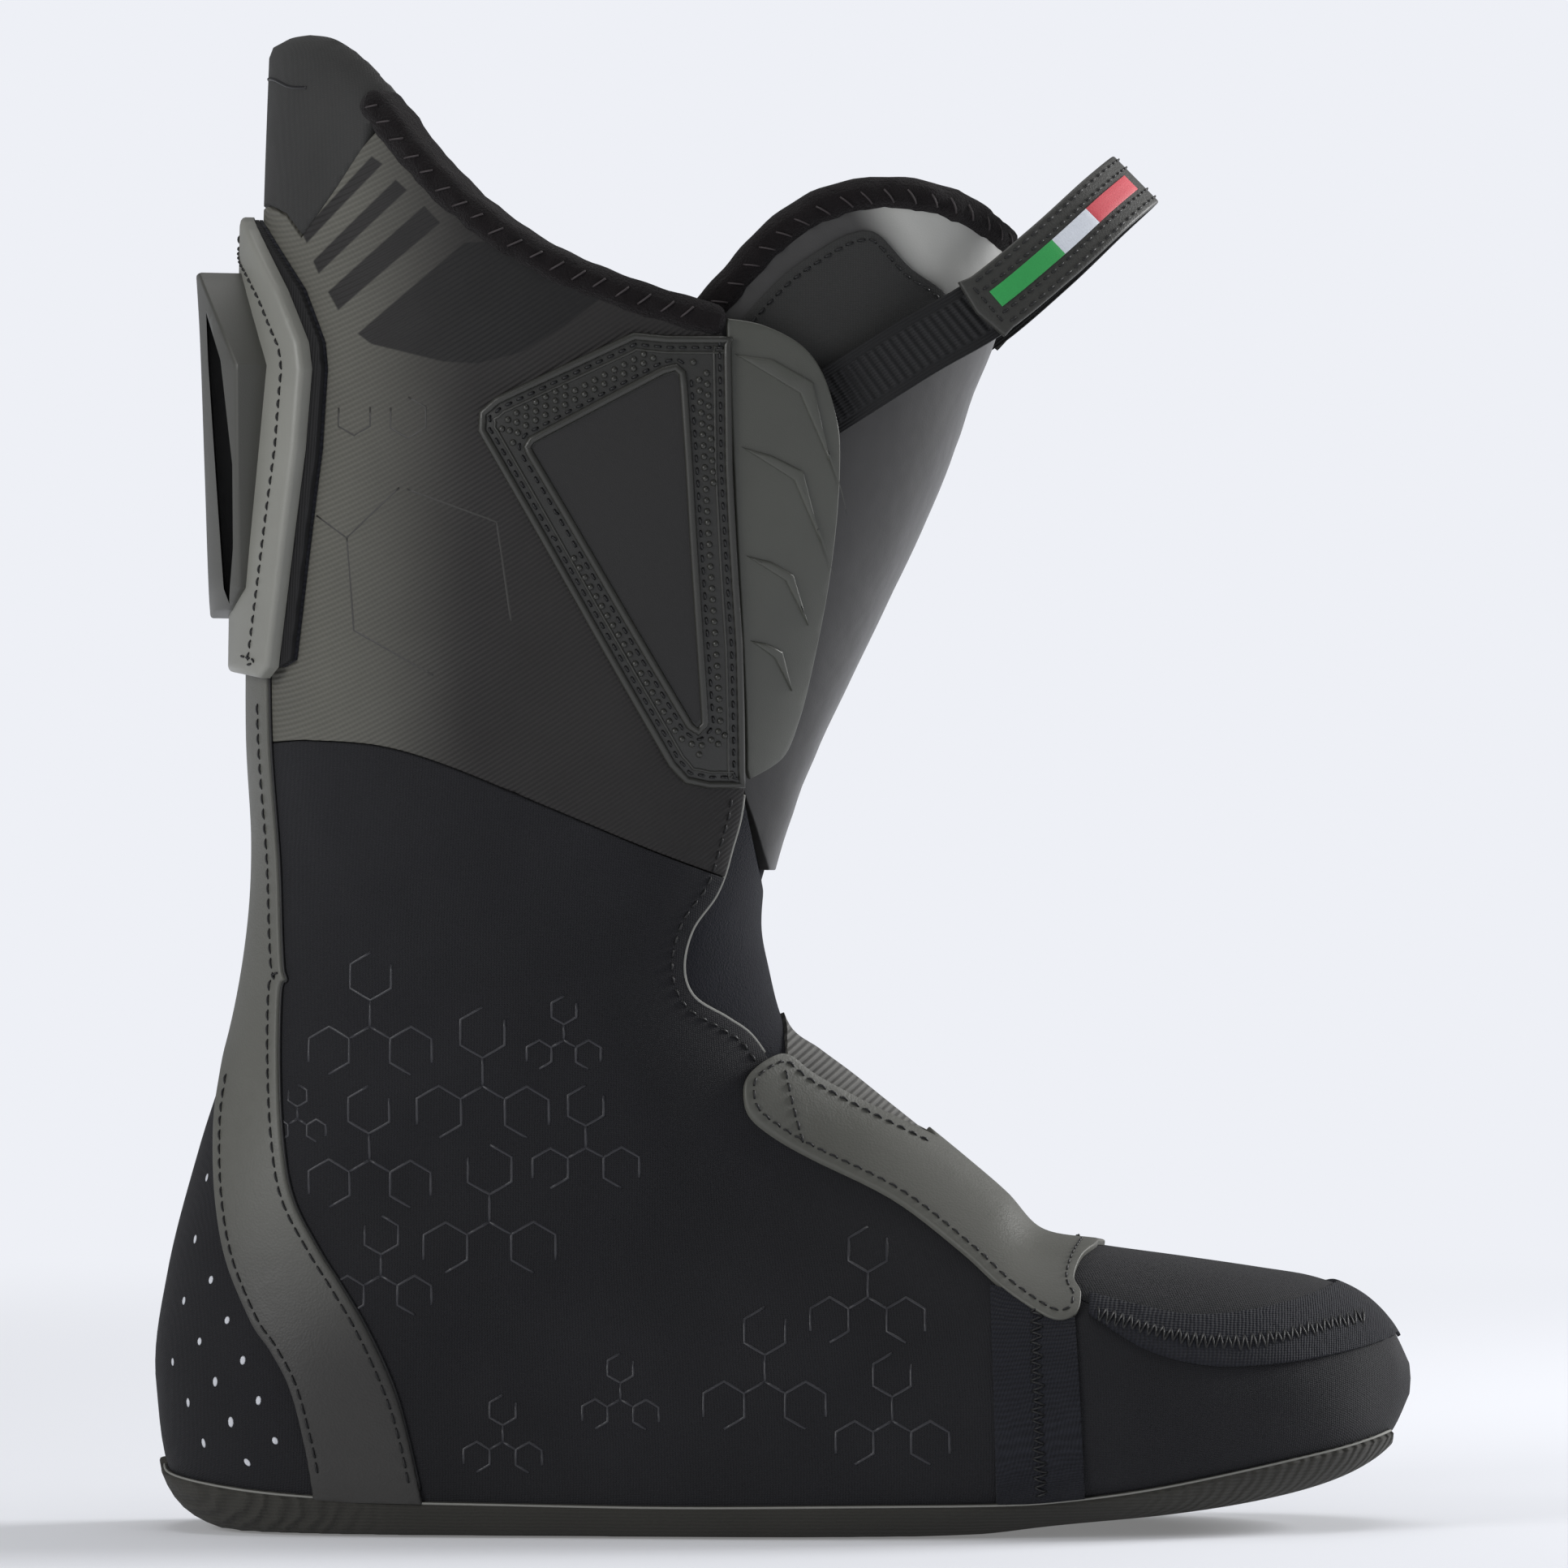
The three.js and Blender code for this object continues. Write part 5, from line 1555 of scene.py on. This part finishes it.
def area_light(name, place, aim, size, power, color=(1, 1, 1)):
    data = bpy.data.lights.new(name, "AREA")
    data.shape, data.size, data.energy, data.color = "SQUARE", size, power, color
    lamp = bpy.data.objects.new(name, data)
    lamp.location = place
    lamp.rotation_euler = (Vector(aim) - Vector(place)).to_track_quat("-Z", "Y").to_euler()
    bpy.context.scene.collection.objects.link(lamp)


def stage():
    scene = bpy.context.scene
    scene.view_settings.view_transform = "Standard"
    camera = bpy.data.cameras.new("camera")
    camera.lens, camera.sensor_width = LENS, 36
    eye = bpy.data.objects.new("camera", camera)
    eye.location = EYE
    eye.rotation_euler = (math.pi / 2, 0, 0)
    scene.collection.objects.link(eye)
    scene.camera = eye
    world = bpy.data.worlds.new("studio")
    scene.world = world
    world.use_nodes = True
    tree = world.node_tree
    room = tree.nodes["Background"]
    seen = tree.nodes.new("ShaderNodeBackground")
    path, mixed = tree.nodes.new("ShaderNodeLightPath"), tree.nodes.new("ShaderNodeMixShader")
    for backdrop, strength in ((room, 0.2), (seen, 1.0)):
        backdrop.inputs[0].default_value, backdrop.inputs[1].default_value = paint(BACKDROP), strength
    tree.links.new(path.outputs["Is Camera Ray"], mixed.inputs[0])
    tree.links.new(room.outputs[0], mixed.inputs[1])
    tree.links.new(seen.outputs[0], mixed.inputs[2])
    tree.links.new(mixed.outputs[0], tree.nodes["World Output"].inputs[0])
    bm = bmesh.new()
    bmesh.ops.create_grid(bm, x_segments=1, y_segments=1, size=30.0)
    mesh = bpy.data.meshes.new("floor")
    bm.to_mesh(mesh)
    bm.free()
    f = Finish("pale floor", FLOOR, 0.95, Specular_IOR_Level=0.0, Emission_Strength=1.0)
    away = f.past((f.x * f.x + f.y * f.y) ** 0.5, 900, 550)
    f.set(
        Base_Color=f.mix(away, paint(FLOOR), (0, 0, 0, 1)),
        Emission_Color=f.mix(away, (0.18, 0.18, 0.18, 1), paint(BACKDROP)),
    )
    mesh.materials.append(f.material)
    floor = bpy.data.objects.new("floor", mesh)
    floor.location = (0, 0, -0.0005)
    scene.collection.objects.link(floor)
    area_light("left softbox", (-1.7, -1.5, 0.9), (0, 0, 0.18), 1.0, 22)
    area_light("right rim softbox", (1.6, 0.75, 0.8), (0, 0, 0.22), 0.7, 34)
    area_light("top softbox", (0.1, 0.25, 2.2), (0, 0, 0.1), 1.6, 16)


upper()
linings()
collar()
sole()
straps()
reinforcement()
flaps()
tongue()
pull_loop()
spoiler()
molecules()
heel_holes()
edges()
stage()
